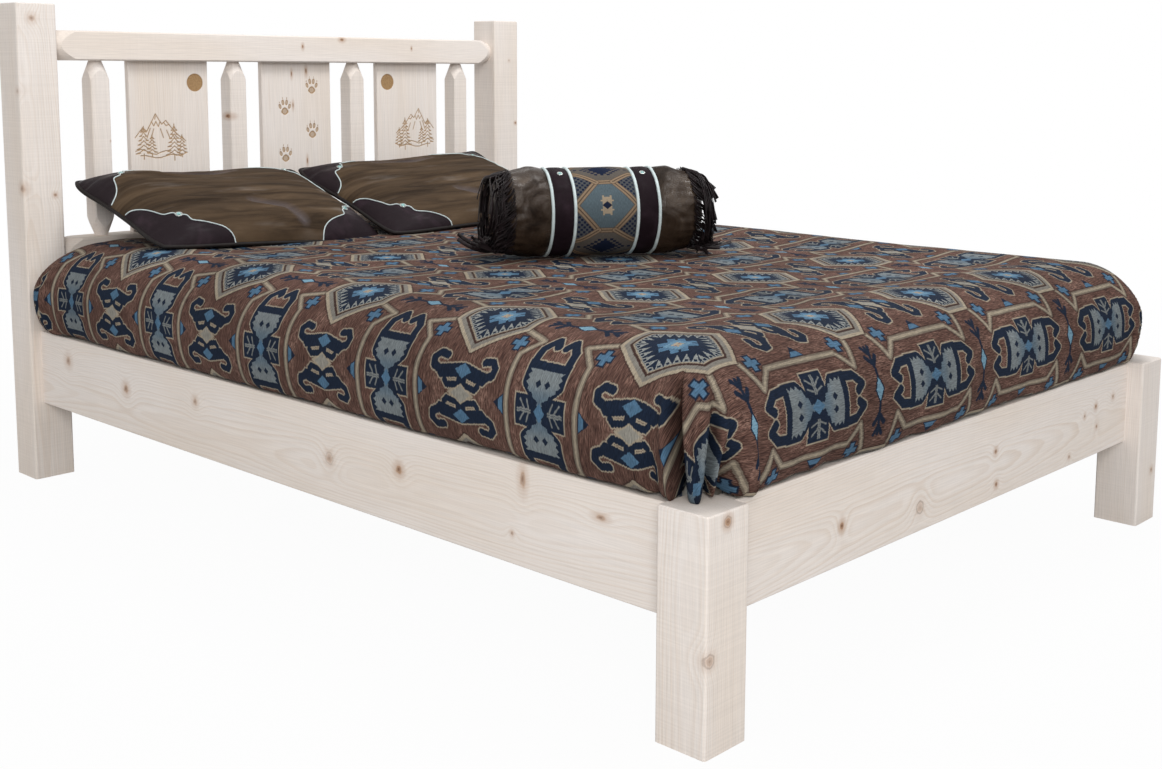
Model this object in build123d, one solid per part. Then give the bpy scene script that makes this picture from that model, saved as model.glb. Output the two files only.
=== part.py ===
# Rustic bed in square-sawn pine logs. Two tall head posts carry two log rails whose ends are cut to
# a cone and a round tenon. Pencil-ended spindles and plain boards stand between those rails. Plank
# side rails drop onto the posts with steel hook plates, slats lie on cleats and a legged centre
# beam, and the bedding lies on top.
# Millimetres. +X is to the right seen from the foot, +Y points to the head, +Z is up, and the
# origin is on the floor at the middle of the bed.
import os
from math import asin, degrees

from build123d import *

# ---- mattress: the standard size that sets the bed's length and width ----
mattress_width = 1524.0
mattress_length = 2032.0
mattress_thick = 254.0
mattress_corner = 45.0          # bevel of the upright corners
mattress_edge = 12.0            # bevel round the top and bottom
mattress_side_gap = 10.0        # mattress to each side rail
mattress_foot_gap = 38.0        # mattress to the foot rail
mattress_head_gap = 38.0        # mattress to the head posts

# ---- timber ----
post_width = 102.0
post_edge = 5.0                 # rounding along a post
post_top_bevel = 2.5            # bevel round a post's top
head_post_height = 1194.0
foot_post_height = 383.0
plank_thick = 38.0
plank_height = 184.0
plank_edge = 3.0                # rounding along the planks
plank_clearance = 194.0         # floor to the planks' lower edge
side_rail_inset = 28.0          # post's outer face to the side rail's
foot_rail_inset = 38.0          # post's outer face to the foot rail's

# ---- head end ----
head_rail_width = 75.0
head_rail_edge = 3.5            # bevel along the rail
head_rail_cone = 60.0           # how far the cone runs along the rail
head_rail_neck = 31.0           # radius where the cone meets the post
head_rail_tenon = 25.4          # radius
head_rail_tenon_length = 50.0
top_rail_drop = 64.0            # post's top to the top rail's upper face
head_opening = 452.0            # between the two rails
infill_margin = 124.0           # post's inner face to the first spindle's axis
infill_steps = 6                # spindles and boards take turns at equal steps
spindle_width = 51.0
spindle_edge = 2.5              # bevel along the spindle
spindle_cone = 52.0
spindle_neck = 16.0
spindle_tenon = 12.7
spindle_tenon_length = 26.0
cone_corner_share = 0.70        # largest cone radius over the bar's width: just its corners
panel_width = 235.0
panel_thick = 19.0
panel_edge = 2.0
panel_groove = 12.0             # depth of the rails' grooves
panel_spot_radius = 24.0        # round sunk spot near the inner top corner of the outer boards
panel_spot_depth = 1.5
panel_spot_side = 39.5          # board's edge to the spot's centre
panel_spot_drop = 57.0          # top rail's underside to the spot's centre

# ---- foot rail tenon ----
foot_tenon_thick = 19.0
foot_tenon_height = 144.0
foot_tenon_length = 38.0

# ---- mattress support ----
mattress_sink = 58.0            # side rail's top to the slats' top
slat_thick = 19.0
slat_width = 89.0
slat_count = 13
slat_end_margin = 90.0          # mattress end to the first slat's middle
slat_edge = 2.0                 # bevel along slats, cleats, beam and legs
slat_side_gap = 1.0             # slat's end to the side rail
slats_per_screw = 3             # every third slat is screwed down
cleat_width = 38.0
cleat_end_margin = 20.0         # post to the cleat's end
beam_thick = 38.0
beam_height = 89.0
beam_end_margin = 45.0
leg_width = 89.0
leg_depth = 64.0
leg_ear = 52.0                  # how far the forked leg reaches up the beam
leg_count = 3
leg_end_margin = 260.0          # beam's end to the first leg's middle
leg_screw_stagger = 0.2         # share of the fork's height, up on one side and down on the other

# ---- hook plates ----
plate_width = 16.0
plate_height = 127.0
plate_thick = 3.0
plate_corner = 2.0              # bevel of a plate's corners
hook_spacing = 64.0             # between the two hooks of a plate
hook_thick = 3.0
hook_height = 12.0
hook_lip = 8.0                  # how far the lip hangs behind the catch plate
hook_reach = 9.6                # plate's face to the lip's far side
slot_play = 1.0                 # slot's height and width over the hook's
pocket_depth = 13.0             # hollow behind the catch plate
plate_screw_spacing = 108.0

# ---- wood screws ----
screw_radius = 2.1
screw_head_radius = 4.2
screw_head_height = 2.6
screw_sides = 6
plate_screw_length = 28.0
cleat_screw_length = 60.0
slat_screw_length = 45.0
leg_screw_length = 50.0

# ---- fits ----
tenon_fit = 0.2                 # round a tenon, a board's edge or a let-in plate
tenon_end_gap = 1.0             # past a tenon's end
tenon_sides = 16                # a hidden round tenon and its bore are cut to this many flats
hole_fit = 0.1                  # round a screw
soft_gap = 0.3                  # round whatever is soft

# ---- bedspread ----
spread_thick = 28.0             # over the mattress
spread_side_inset = 6.0         # post's outer face to the widest part
spread_foot_inset = 13.0
spread_head_gap = 5.0           # to the head posts
spread_corner = 120.0
spread_shoulder = 92.0          # rounding of the upper edge
spread_roll = 40.0              # height of the lower edge's bevel
spread_roll_in = 22.0           # how far that bevel goes in

# ---- pillows: two alike, lying back against the head end ----
pillow_width = 650.0
pillow_depth = 462.0
pillow_thick = 150.0
pillow_rim = 14.0               # thickness left at the seam
pillow_left_x = -382.0
pillow_left_turn = -3.4         # degrees about the vertical
pillow_left_tilt = 17.3         # degrees, its back edge raised
pillow_right_x = 282.0
pillow_right_turn = -1.0
pillow_right_tilt = 19.7
pillow_right_forward = 78.0     # how far it lies in front of the spindles

# ---- conchos: domed metal buttons ----
pillow_concho_radius = 9.0
bolster_concho_radius = 7.0
concho_height = 4.0
concho_sides = 12
concho_slope = 45.0             # degrees
concho_across = 0.73            # of a pillow's half width
concho_along = 0.62             # of a pillow's half depth

# ---- bolster ----
bolster_radius = 105.0
bolster_length = 560.0          # over the fringed ends
bolster_x = 18.0
bolster_forward = 1163.0        # in front of the spindles
bolster_turn = -31.0            # degrees about the vertical
bolster_concho_spacing = 200.0
bolster_concho_lean = 27.0      # degrees round from the top, towards the left side

# ---- worked out ----
rail_inner_x = mattress_width / 2 + mattress_side_gap
rail_x = rail_inner_x + plank_thick / 2
half_width = rail_inner_x + plank_thick + side_rail_inset
half_length = (mattress_length + mattress_foot_gap + mattress_head_gap + plank_thick
               + foot_rail_inset + post_width) / 2
post_x = half_width - post_width / 2
post_y = half_length - post_width / 2
post_inner_x = half_width - post_width
post_inner_y = half_length - post_width
foot_rail_y = -(half_length - foot_rail_inset - plank_thick / 2)
plank_top = plank_clearance + plank_height
plank_z = plank_clearance + plank_height / 2
mattress_y = post_inner_y - mattress_head_gap - mattress_length / 2
slat_top = plank_top - mattress_sink
slat_bottom = slat_top - slat_thick
beam_bottom = slat_bottom - beam_height
mattress_top = slat_top + mattress_thick
spread_top = mattress_top + soft_gap + spread_thick
top_rail_z = head_post_height - top_rail_drop - head_rail_width / 2
low_rail_z = top_rail_z - head_rail_width - head_opening
infill_step = 2 * (post_inner_x - infill_margin) / infill_steps
infill_z = (top_rail_z + low_rail_z) / 2
spindle_face_y = post_y - spindle_width / 2


def timber(size_x, size_y, size_z, grain, edge):
    # a squared bar with its edges along the grain rounded
    bar = Box(size_x, size_y, size_z)
    return fillet(bar.edges().filter_by(grain), edge)


def bevelled(size_x, size_y, size_z, grain, edge):
    # the same with small bevels instead
    bar = Box(size_x, size_y, size_z)
    return chamfer(bar.edges().filter_by(grain), edge)


def round_bar(radius, length):
    # a turned tenon or its bore, along Z about the origin
    return extrude(RegularPolygon(radius, tenon_sides), length / 2, both=True)


def evenly(count, first, last):
    return [first + (last - first) * i / (count - 1) for i in range(count)]


def merge(solids):
    # several separate solids kept as one group
    return Compound(children=list(solids))


# ---- wood screws: flat head let in at the origin, shank towards -Z. Few sides, as they are small
# and many ----
def screw_form(length, room):
    head = extrude(RegularPolygon(screw_head_radius + room, screw_sides), -screw_head_height)
    return head + extrude(RegularPolygon(screw_radius + room, screw_sides), -length)


def screw(length):
    return screw_form(length, 0)


def screw_hole(length):
    return screw_form(length + tenon_end_gap, hole_fit)


# ---- hook plates. Both are drawn with their meeting faces on y = 0: the rail lies on the -Y side
# and the post on the +Y side ----
def hook_heights():
    return [-hook_spacing / 2, hook_spacing / 2]


def plate_screw_heights():
    return [-plate_screw_spacing / 2, plate_screw_spacing / 2]


def hook():
    # reaches through the catch plate's slot and turns down behind it
    drop = Polyline((0, 0), (0, hook_height), (hook_reach, hook_height), (hook_reach, -hook_lip),
                    (plate_thick + soft_gap, -hook_lip), (plate_thick + soft_gap, 0), close=True)
    return extrude(Plane.YZ * make_face(drop), hook_thick / 2, both=True)


def slot_box(depth):
    # room for the hook's lip to pass in and drop
    height = hook_lip + hook_height + slot_play
    return Pos(0, depth / 2, height / 2) * Box(hook_thick + slot_play, depth, height)


def plate_blank(side):
    blank = bevelled(plate_width, plate_thick, plate_height, Axis.Y, plate_corner)
    return Pos(0, side * plate_thick / 2, 0) * blank


def hook_plate():
    plate = plate_blank(-1)
    for z in plate_screw_heights():
        plate -= Pos(0, 0, z) * Rot(-90, 0, 0) * screw_hole(plate_screw_length)
    for z in hook_heights():
        plate += Pos(0, 0, z) * hook()
    return plate


def catch_plate():
    plate = plate_blank(1)
    for z in plate_screw_heights():
        plate -= Pos(0, 0, z) * Rot(90, 0, 0) * screw_hole(plate_screw_length)
    for z in hook_heights():
        plate -= Pos(0, 0, z) * slot_box(plate_thick)
    return plate


def let_in(side):
    # shallow recess that a plate lies in
    return Pos(0, side * plate_thick / 2, 0) * Box(
        plate_width + 2 * tenon_fit, plate_thick, plate_height + 2 * tenon_fit)


def rail_end_cut():
    cut = let_in(-1)
    for z in plate_screw_heights():
        cut += Pos(0, 0, z) * Rot(-90, 0, 0) * screw_hole(plate_screw_length)
    return cut


def post_face_cut():
    cut = let_in(1)
    pocket_height = 2 * hook_lip + hook_height + 2 * slot_play
    for z in plate_screw_heights():
        cut += Pos(0, 0, z) * Rot(90, 0, 0) * screw_hole(plate_screw_length)
    for z in hook_heights():
        cut += Pos(0, (plate_thick + pocket_depth) / 2, z + hook_height / 2) * Box(
            hook_thick + 2 * slot_play, plate_thick + pocket_depth, pocket_height)
    return cut


def at_joint(shape, side, end):
    # side -1 is left and 1 right, end 1 is the head and -1 the foot
    turn = 0 if end > 0 else 180
    return Pos(side * rail_x, end * post_inner_y, plank_z) * Rot(0, 0, turn) * shape


# ---- posts ----
def post_blank(side, end, height):
    post = timber(post_width, post_width, height, Axis.Z, post_edge)
    post = chamfer(post.faces().sort_by(Axis.Z)[-1].edges(), post_top_bevel)
    post = Pos(side * post_x, end * post_y, height / 2) * post
    return post - at_joint(post_face_cut(), side, end)


def head_post(side):
    post = post_blank(side, 1, head_post_height)
    depth = head_rail_tenon_length + tenon_end_gap
    bore = Rot(0, 90, 0) * round_bar(head_rail_tenon + tenon_fit, depth)
    for z in (top_rail_z, low_rail_z):
        post -= Pos(side * (post_inner_x + depth / 2), post_y, z) * bore
    return post


def foot_post(side):
    post = post_blank(side, -1, foot_post_height)
    depth = foot_tenon_length + tenon_end_gap
    mortise = Box(depth, foot_tenon_thick + 2 * tenon_fit, foot_tenon_height + 2 * tenon_fit)
    return post - Pos(side * (post_inner_x + depth / 2), foot_rail_y, plank_z) * mortise


# ---- bars with pencil ends ----
def pencil_bar(span, width, edge, cone, neck, tenon, tenon_length):
    # a square bar along Z. A cone takes its corners off first, so each flat ends in a curve
    corner = cone_corner_share * width
    half = span / 2
    turned = revolve(Plane.XZ * make_face(Polyline(
        (0, -half), (neck, -half), (corner, cone - half), (corner, half - cone), (neck, half),
        (0, half), close=True)), Axis.Z)
    bar = bevelled(width, width, span, Axis.Z, edge) & turned
    return bar + round_bar(tenon, span + 2 * tenon_length)


def infill_places(kind):
    # spindles stand at the odd steps from the middle and boards at the even ones
    half = infill_steps // 2
    return [i * infill_step for i in range(-half, half + 1) if i % 2 == kind]


def head_rail(z, opening_side):
    # opening_side -1 is the top rail, whose lower face takes the infill, and 1 the lower rail
    rail = Rot(0, 90, 0) * pencil_bar(2 * post_inner_x, head_rail_width, head_rail_edge, head_rail_cone,
                                      head_rail_neck, head_rail_tenon, head_rail_tenon_length)
    face = opening_side * head_rail_width / 2
    bore_depth = spindle_tenon_length + tenon_end_gap
    for x in infill_places(1):
        rail -= Pos(x, 0, face - opening_side * bore_depth / 2) * round_bar(
            spindle_tenon + tenon_fit, bore_depth)
    groove_depth = panel_groove + tenon_end_gap
    for x in infill_places(0):
        rail -= Pos(x, 0, face - opening_side * groove_depth / 2) * Box(
            panel_width + 2 * tenon_fit, panel_thick + 2 * tenon_fit, groove_depth)
    return Pos(0, post_y, z) * rail


def spindle(x):
    bar = pencil_bar(head_opening, spindle_width, spindle_edge, spindle_cone, spindle_neck,
                     spindle_tenon, spindle_tenon_length)
    return Pos(x, post_y, infill_z) * bar


def panel(x):
    board = bevelled(panel_width, panel_thick, head_opening + 2 * panel_groove, Axis.Z, panel_edge)
    if x:
        inner = -1 if x > 0 else 1
        spot = Rot(90, 0, 0) * Cylinder(panel_spot_radius, panel_spot_depth)
        board -= Pos(inner * (panel_width / 2 - panel_spot_side), (panel_spot_depth - panel_thick) / 2,
                     head_opening / 2 - panel_spot_drop) * spot
    return Pos(x, post_y, infill_z) * board


# ---- planks ----
def foot_rail():
    plank = timber(2 * post_inner_x, plank_thick, plank_height, Axis.X, plank_edge)
    plank += Box(2 * (post_inner_x + foot_tenon_length), foot_tenon_thick, foot_tenon_height)
    return Pos(0, foot_rail_y, plank_z) * plank


def cleat_z():
    return slat_bottom - cleat_width / 2


def cleat_length():
    return 2 * (post_inner_y - cleat_end_margin)


def slat_ys():
    reach = mattress_length / 2 - slat_end_margin
    return evenly(slat_count, mattress_y - reach, mattress_y + reach)


def cleat_screws(side, shape):
    # driven through the cleat into the side rail, midway between two slats
    gaps = [(a + b) / 2 for a, b in zip(slat_ys(), slat_ys()[1:])]
    x = side * (rail_inner_x - cleat_width)
    return [Pos(x, y, cleat_z()) * Rot(0, -side * 90, 0) * shape
            for y in gaps[::slats_per_screw] + [gaps[-1]]]


def slat_screws(side, shape, slats):
    x = side * (rail_inner_x - cleat_width / 2)
    return [Pos(x, y, slat_top) * shape for y in slats]


def side_rail(side):
    plank = timber(plank_thick, 2 * post_inner_y, plank_height, Axis.Y, plank_edge)
    plank = Pos(side * rail_x, 0, plank_z) * plank
    for end in (-1, 1):
        plank -= at_joint(rail_end_cut(), side, end)
    for hole in cleat_screws(side, screw_hole(cleat_screw_length)):
        plank -= hole
    return plank


def cleat(side):
    bar = bevelled(cleat_width, cleat_length(), cleat_width, Axis.Y, slat_edge)
    bar = Pos(side * (rail_inner_x - cleat_width / 2), 0, cleat_z()) * bar
    for hole in cleat_screws(side, screw_hole(cleat_screw_length)):
        bar -= hole
    for hole in slat_screws(side, screw_hole(slat_screw_length), slat_ys()[::slats_per_screw]):
        bar -= hole
    return bar


def slat(y, screwed):
    board = bevelled(2 * (rail_inner_x - slat_side_gap), slat_width, slat_thick, Axis.X, slat_edge)
    board = Pos(0, y, slat_bottom + slat_thick / 2) * board
    if screwed:
        for side in (-1, 1):
            for hole in slat_screws(side, screw_hole(slat_screw_length), [y]):
                board -= hole
    return board


# ---- centre beam on forked legs ----
def beam_length():
    return 2 * (post_inner_y - beam_end_margin)


def leg_ys():
    reach = beam_length() / 2 - leg_end_margin
    return evenly(leg_count, -reach, reach)


def leg_screws(y, shape):
    # one from each side through the leg's fork into the beam, a little apart in height
    return [Pos(side * leg_width / 2, y, beam_bottom + leg_ear * (0.5 + side * leg_screw_stagger))
            * Rot(0, side * 90, 0) * shape for side in (-1, 1)]


def centre_beam():
    beam = bevelled(beam_thick, beam_length(), beam_height, Axis.Y, slat_edge)
    beam = Pos(0, 0, beam_bottom + beam_height / 2) * beam
    for y in leg_ys():
        for hole in leg_screws(y, screw_hole(leg_screw_length)):
            beam -= hole
    return beam


def centre_leg(y):
    height = beam_bottom + leg_ear
    leg = bevelled(leg_width, leg_depth, height, Axis.Z, slat_edge)
    leg -= Pos(0, 0, (height - leg_ear) / 2) * Box(beam_thick + 2 * tenon_fit, leg_depth, leg_ear)
    leg = Pos(0, y, height / 2) * leg
    for hole in leg_screws(y, screw_hole(leg_screw_length)):
        leg -= hole
    return leg


# ---- bedding ----
def mattress():
    block = bevelled(mattress_width, mattress_length, mattress_thick, Axis.Z, mattress_corner)
    block = chamfer(block.faces().filter_by(Axis.Z).edges(), mattress_edge)
    return Pos(0, mattress_y, slat_top + mattress_thick / 2) * block


def bedspread():
    # a padded cover that swells over the rails and ends on them, open underneath
    foot_y = -(half_length - spread_foot_inset)
    head_y = post_inner_y - spread_head_gap
    bottom = foot_post_height + soft_gap
    height = spread_top - bottom
    cover = Box(2 * (half_width - spread_side_inset), head_y - foot_y, height)
    cover = fillet(cover.edges().filter_by(Axis.Z), spread_corner)
    cover = fillet(cover.faces().sort_by(Axis.Z)[-1].edges(), spread_shoulder)
    cover = chamfer(cover.faces().sort_by(Axis.Z)[0].edges(), spread_roll, spread_roll_in)
    cover = Pos(0, (head_y + foot_y) / 2, bottom + height / 2) * cover
    inside = Box(mattress_width + 2 * soft_gap, mattress_length + 2 * soft_gap, height)
    return cover - Pos(0, mattress_y, mattress_top + soft_gap - height / 2) * inside


def bulge_radius(half_span):
    # radius of the arc from rim to rim over a pillow's crown
    rise = (pillow_thick - pillow_rim) / 2
    return (half_span ** 2 + rise ** 2) / (2 * rise)


def bulge(half_span, at):
    # half thickness of that arc at a distance from the middle
    radius = bulge_radius(half_span)
    return (radius ** 2 - at ** 2) ** 0.5 - radius + pillow_thick / 2


def lens(span):
    half, rim, crown = span / 2, pillow_rim / 2, pillow_thick / 2
    top = ThreePointArc((-half, rim), (0, crown), (half, rim))
    low = ThreePointArc((half, -rim), (0, -crown), (-half, -rim))
    return make_face([top, Line((half, rim), (half, -rim)), low, Line((-half, -rim), (-half, rim))])


def pillow_form():
    # crowned both ways, thin at its four sides
    across = extrude(Plane.XZ * lens(pillow_width), pillow_depth / 2, both=True)
    along = extrude(Plane.YZ * lens(pillow_depth), pillow_width / 2, both=True)
    return across & along


def concho(radius):
    # a low cone standing on the XY plane
    return extrude(RegularPolygon(radius, concho_sides), concho_height, taper=concho_slope)


def pillow_conchos():
    # one inside each corner, square to the crowned surface
    half_x, half_y = pillow_width / 2, pillow_depth / 2
    out = []
    for sx in (-1, 1):
        for sy in (-1, 1):
            x, y = sx * concho_across * half_x, sy * concho_along * half_y
            z_x, z_y = bulge(half_x, x), bulge(half_y, y)
            if z_x < z_y:
                z, lean = z_x, Rot(0, degrees(asin(x / bulge_radius(half_x))), 0)
            else:
                z, lean = z_y, Rot(-degrees(asin(y / bulge_radius(half_y))), 0, 0)
            out.append(Pos(x, y, z) * lean * Pos(0, 0, soft_gap) * concho(pillow_concho_radius))
    return out


def lay_pillow(shapes, x, turn, tilt, forward):
    # tilt the pillow, turn it, let it down onto the bedspread and back against the spindles
    pose = Rot(0, 0, turn) * Rot(tilt, 0, 0)
    form = pose * pillow_form()
    box = form.bounding_box()
    y = spindle_face_y - soft_gap - forward - box.max.Y
    z = spread_top + soft_gap - box.min.Z
    return [Pos(x, y, z) * pose * shape for shape in shapes]


def bolster_place():
    y = spindle_face_y - bolster_forward
    z = spread_top + soft_gap + bolster_radius
    return Pos(bolster_x, y, z) * Rot(0, 0, bolster_turn) * Rot(0, 90, 0)


def bolster_conchos():
    # Rot about the roll's own axis, from the top towards the left
    return [Rot(0, 0, bolster_concho_lean) * Pos(-(bolster_radius + soft_gap), 0, z)
            * Rot(0, -90, 0) * concho(bolster_concho_radius)
            for z in (-bolster_concho_spacing / 2, bolster_concho_spacing / 2)]


# ---- the parts by name ----
def collect():
    sides = {"left": -1, "right": 1}
    ends = {"head": 1, "foot": -1}
    parts = {}
    for name, side in sides.items():
        parts["head_post_" + name] = head_post(side)
        parts["foot_post_" + name] = foot_post(side)
        parts["side_rail_" + name] = side_rail(side)
        parts["cleat_" + name] = cleat(side)
    parts["head_top_rail"] = head_rail(top_rail_z, -1)
    parts["head_lower_rail"] = head_rail(low_rail_z, 1)
    parts["foot_rail"] = foot_rail()
    for i, x in enumerate(infill_places(1)):
        parts["spindle_%d" % (i + 1)] = spindle(x)
    for name, x in zip(("left", "centre", "right"), infill_places(0)):
        parts["head_panel_" + name] = panel(x)
    for i, y in enumerate(slat_ys()):
        parts["slat_%02d" % (i + 1)] = slat(y, i % slats_per_screw == 0)
    parts["centre_beam"] = centre_beam()
    for i, y in enumerate(leg_ys()):
        parts["centre_leg_%d" % (i + 1)] = centre_leg(y)
    parts["leg_screws"] = merge(s for y in leg_ys() for s in leg_screws(y, screw(leg_screw_length)))

    rail_plate_screws, post_plate_screws, cleat_group, slat_group = [], [], [], []
    for side_name, side in sides.items():
        for end_name, end in ends.items():
            place = "%s_%s" % (end_name, side_name)
            parts["hook_plate_" + place] = at_joint(hook_plate(), side, end)
            parts["catch_plate_" + place] = at_joint(catch_plate(), side, end)
            for z in plate_screw_heights():
                into_rail = Pos(0, 0, z) * Rot(-90, 0, 0) * screw(plate_screw_length)
                into_post = Pos(0, 0, z) * Rot(90, 0, 0) * screw(plate_screw_length)
                rail_plate_screws.append(at_joint(into_rail, side, end))
                post_plate_screws.append(at_joint(into_post, side, end))
        cleat_group += cleat_screws(side, screw(cleat_screw_length))
        slat_group += slat_screws(side, screw(slat_screw_length), slat_ys()[::slats_per_screw])
    parts["hook_plate_screws"] = merge(rail_plate_screws)
    parts["catch_plate_screws"] = merge(post_plate_screws)
    parts["cleat_screws"] = merge(cleat_group)
    parts["slat_screws"] = merge(slat_group)

    parts["mattress"] = mattress()
    parts["bedspread"] = bedspread()
    left = lay_pillow([pillow_form()] + pillow_conchos(), pillow_left_x, pillow_left_turn,
                      pillow_left_tilt, 0)
    right = lay_pillow([pillow_form()] + pillow_conchos(), pillow_right_x, pillow_right_turn,
                       pillow_right_tilt, pillow_right_forward)
    parts["pillow_left"], parts["pillow_left_conchos"] = left[0], merge(left[1:])
    parts["pillow_right"], parts["pillow_right_conchos"] = right[0], merge(right[1:])
    parts["bolster"] = bolster_place() * Cylinder(bolster_radius, bolster_length)
    parts["bolster_conchos"] = merge(bolster_place() * c for c in bolster_conchos())
    return parts


os.makedirs("parts", exist_ok=True)
for part_name, shape in collect().items():
    export_step(shape, "parts/%s.step" % part_name)
print("bed %.0f wide, %.0f long, %.0f high" % (2 * half_width, 2 * half_length, head_post_height))
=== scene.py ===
import bpy
from math import atan2, copysign, cos, degrees, exp, hypot, pi, radians, sin, sqrt
from itertools import product
from mathutils import Matrix, Vector, noise
from mathutils.bvhtree import BVHTree


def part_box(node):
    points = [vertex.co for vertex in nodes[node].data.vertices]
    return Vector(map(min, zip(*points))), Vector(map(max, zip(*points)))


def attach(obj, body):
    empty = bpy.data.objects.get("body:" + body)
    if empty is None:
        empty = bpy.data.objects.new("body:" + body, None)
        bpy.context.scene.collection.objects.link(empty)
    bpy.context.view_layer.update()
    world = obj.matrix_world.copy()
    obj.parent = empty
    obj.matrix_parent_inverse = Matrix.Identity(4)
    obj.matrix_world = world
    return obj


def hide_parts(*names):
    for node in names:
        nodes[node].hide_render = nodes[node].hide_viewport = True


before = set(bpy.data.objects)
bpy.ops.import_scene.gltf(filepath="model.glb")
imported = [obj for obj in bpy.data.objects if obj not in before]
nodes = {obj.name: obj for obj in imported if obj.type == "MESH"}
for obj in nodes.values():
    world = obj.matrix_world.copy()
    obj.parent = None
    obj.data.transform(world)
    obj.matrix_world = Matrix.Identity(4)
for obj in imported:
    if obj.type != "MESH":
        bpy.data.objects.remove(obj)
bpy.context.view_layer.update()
bpy.ops.object.select_all(action="DESELECT")

# node trees: numbers and node outputs go in alike, and + - * / < > between them add math nodes

current = {}  # the tree that new nodes go into


def newTree(tree):
    tree.nodes.clear()
    current["tree"] = tree


def newMaterial(name):
    material = bpy.data.materials.new(name)
    material.use_nodes = True
    newTree(material.node_tree)
    return material


def put(value, socket):
    if isinstance(value, Value):
        value = value.socket
    if isinstance(value, bpy.types.NodeSocket):
        current["tree"].links.new(value, socket)
    elif socket.type == "RGBA":
        socket.default_value = (*value[:3], 1.0)
    else:
        socket.default_value = value


def newNode(kind, *values, **named):
    node = current["tree"].nodes.new(kind)
    for value, socket in zip(values, node.inputs):
        put(value, socket)
    for key, value in named.items():
        put(value, node.inputs[key.replace("_", " ")])
    return node


def calc(operation, *values, clamp=False):
    node = newNode("ShaderNodeMath", *values)
    node.operation = operation
    node.use_clamp = clamp
    return Value(node.outputs[0])


def sign(operation, swapped=False):
    return lambda *values: calc(operation, *(reversed(values) if swapped else values))


class Value:
    def __init__(self, socket):
        self.socket = socket

    __add__, __radd__ = sign("ADD"), sign("ADD", True)
    __sub__, __rsub__ = sign("SUBTRACT"), sign("SUBTRACT", True)
    __mul__, __rmul__ = sign("MULTIPLY"), sign("MULTIPLY", True)
    __truediv__, __mod__ = sign("DIVIDE"), sign("MODULO")
    __lt__, __gt__ = sign("LESS_THAN"), sign("GREATER_THAN")
    __abs__, __round__ = sign("ABSOLUTE"), sign("ROUND")


def larger(first, *others):
    for other in others:
        first = calc("MAXIMUM", first, other)
    return first


def smaller(first, *others):
    for other in others:
        first = calc("MINIMUM", first, other)
    return first


def pingpong(value, pitch):
    # distance from the nearest even multiple of pitch
    return calc("PINGPONG", value, pitch)


def near(value, middle, reach):
    return calc("COMPARE", value, middle, reach)


def vectorCalc(operation, a, b=(0.0, 0.0, 0.0), out=0):
    node = newNode("ShaderNodeVectorMath", a)
    node.operation = operation
    put(b, node.inputs["Scale"] if operation == "SCALE" else node.inputs[1])
    return Value(node.outputs[out])


def split(vector):
    return [Value(socket) for socket in newNode("ShaderNodeSeparateXYZ", vector).outputs]


def combine(x=0.0, y=0.0, z=0.0):
    return Value(newNode("ShaderNodeCombineXYZ", x, y, z).outputs[0])


def length(vector):
    return vectorCalc("LENGTH", vector, out=1)


def cloud(vector, scale, detail=2.0, rough=0.5, twist=0.0, size=(1, 1, 1)):
    # noise stretched by size
    if size != (1, 1, 1):
        vector = vectorCalc("MULTIPLY", vector, size)
    node = newNode("ShaderNodeTexNoise", Vector=vector, Scale=scale, Detail=detail, Roughness=rough,
                   Distortion=twist)
    return Value(node.outputs["Fac"])


def span(value, low, high, a=0.0, b=1.0, smooth=True):
    node = newNode("ShaderNodeMapRange", value, low, high, a, b)
    node.interpolation_type = "SMOOTHSTEP" if smooth else "LINEAR"
    node.clamp = True
    return Value(node.outputs["Result"])


def blendColour(factor, a, b, mode="MIX"):
    node = newNode("ShaderNodeMix")
    node.data_type = "RGBA"
    node.blend_type = mode
    node.clamp_factor = True
    for value, number in ((factor, 0), (a, 6), (b, 7)):
        put(value, node.inputs[number])
    return Value(node.outputs[2])


def shaded(tone, shade):
    return blendColour(1.0, tone, combine(shade, shade, shade), "MULTIPLY")


def objectPlace():
    return Value(newNode("ShaderNodeTexCoord").outputs["Object"])


def uvPlace(name):
    node = newNode("ShaderNodeUVMap")
    node.uv_map = name
    return Value(node.outputs[0])


def newGroup(name, takes, gives):
    # takes and gives are pairs of a socket's name and kind
    group = bpy.data.node_groups.new(name, "ShaderNodeTree")
    newTree(group)
    for side, sockets in (("INPUT", takes), ("OUTPUT", gives)):
        for key, kind in sockets:
            group.interface.new_socket(key, in_out=side, socket_type="NodeSocket" + kind)
    source = newNode("NodeGroupInput")
    return group, [Value(socket) for socket in source.outputs[:len(takes)]]


def grouped(group, *values):
    node = newNode("ShaderNodeGroup")
    node.node_tree = group
    for value, socket in zip(values, node.inputs):
        put(value, socket)
    return [Value(socket) for socket in node.outputs]


def surface(colour, roughness, height=None, bump=(0.3, 0.001), **fixed):
    # fixed values go on the shader's own sockets
    shader = newNode("ShaderNodeBsdfPrincipled", Base_Color=colour, Roughness=roughness, **fixed)
    if height is not None:
        node = newNode("ShaderNodeBump", Strength=bump[0], Distance=bump[1], Height=height)
        put(node.outputs[0], shader.inputs["Normal"])
    newNode("ShaderNodeOutputMaterial", Surface=shader.outputs[0])
    return shader


# meshes


def newGrid(name, columns, rows, size=2.0):
    bpy.ops.mesh.primitive_grid_add(x_subdivisions=columns, y_subdivisions=rows, size=size)
    piece = bpy.context.object
    piece.name = name
    return piece


def smoothFaces(piece):
    for polygon in piece.data.polygons:
        polygon.use_smooth = True


def applied(piece, name):
    bpy.context.view_layer.objects.active = piece
    bpy.ops.object.modifier_apply(modifier=name)


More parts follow.
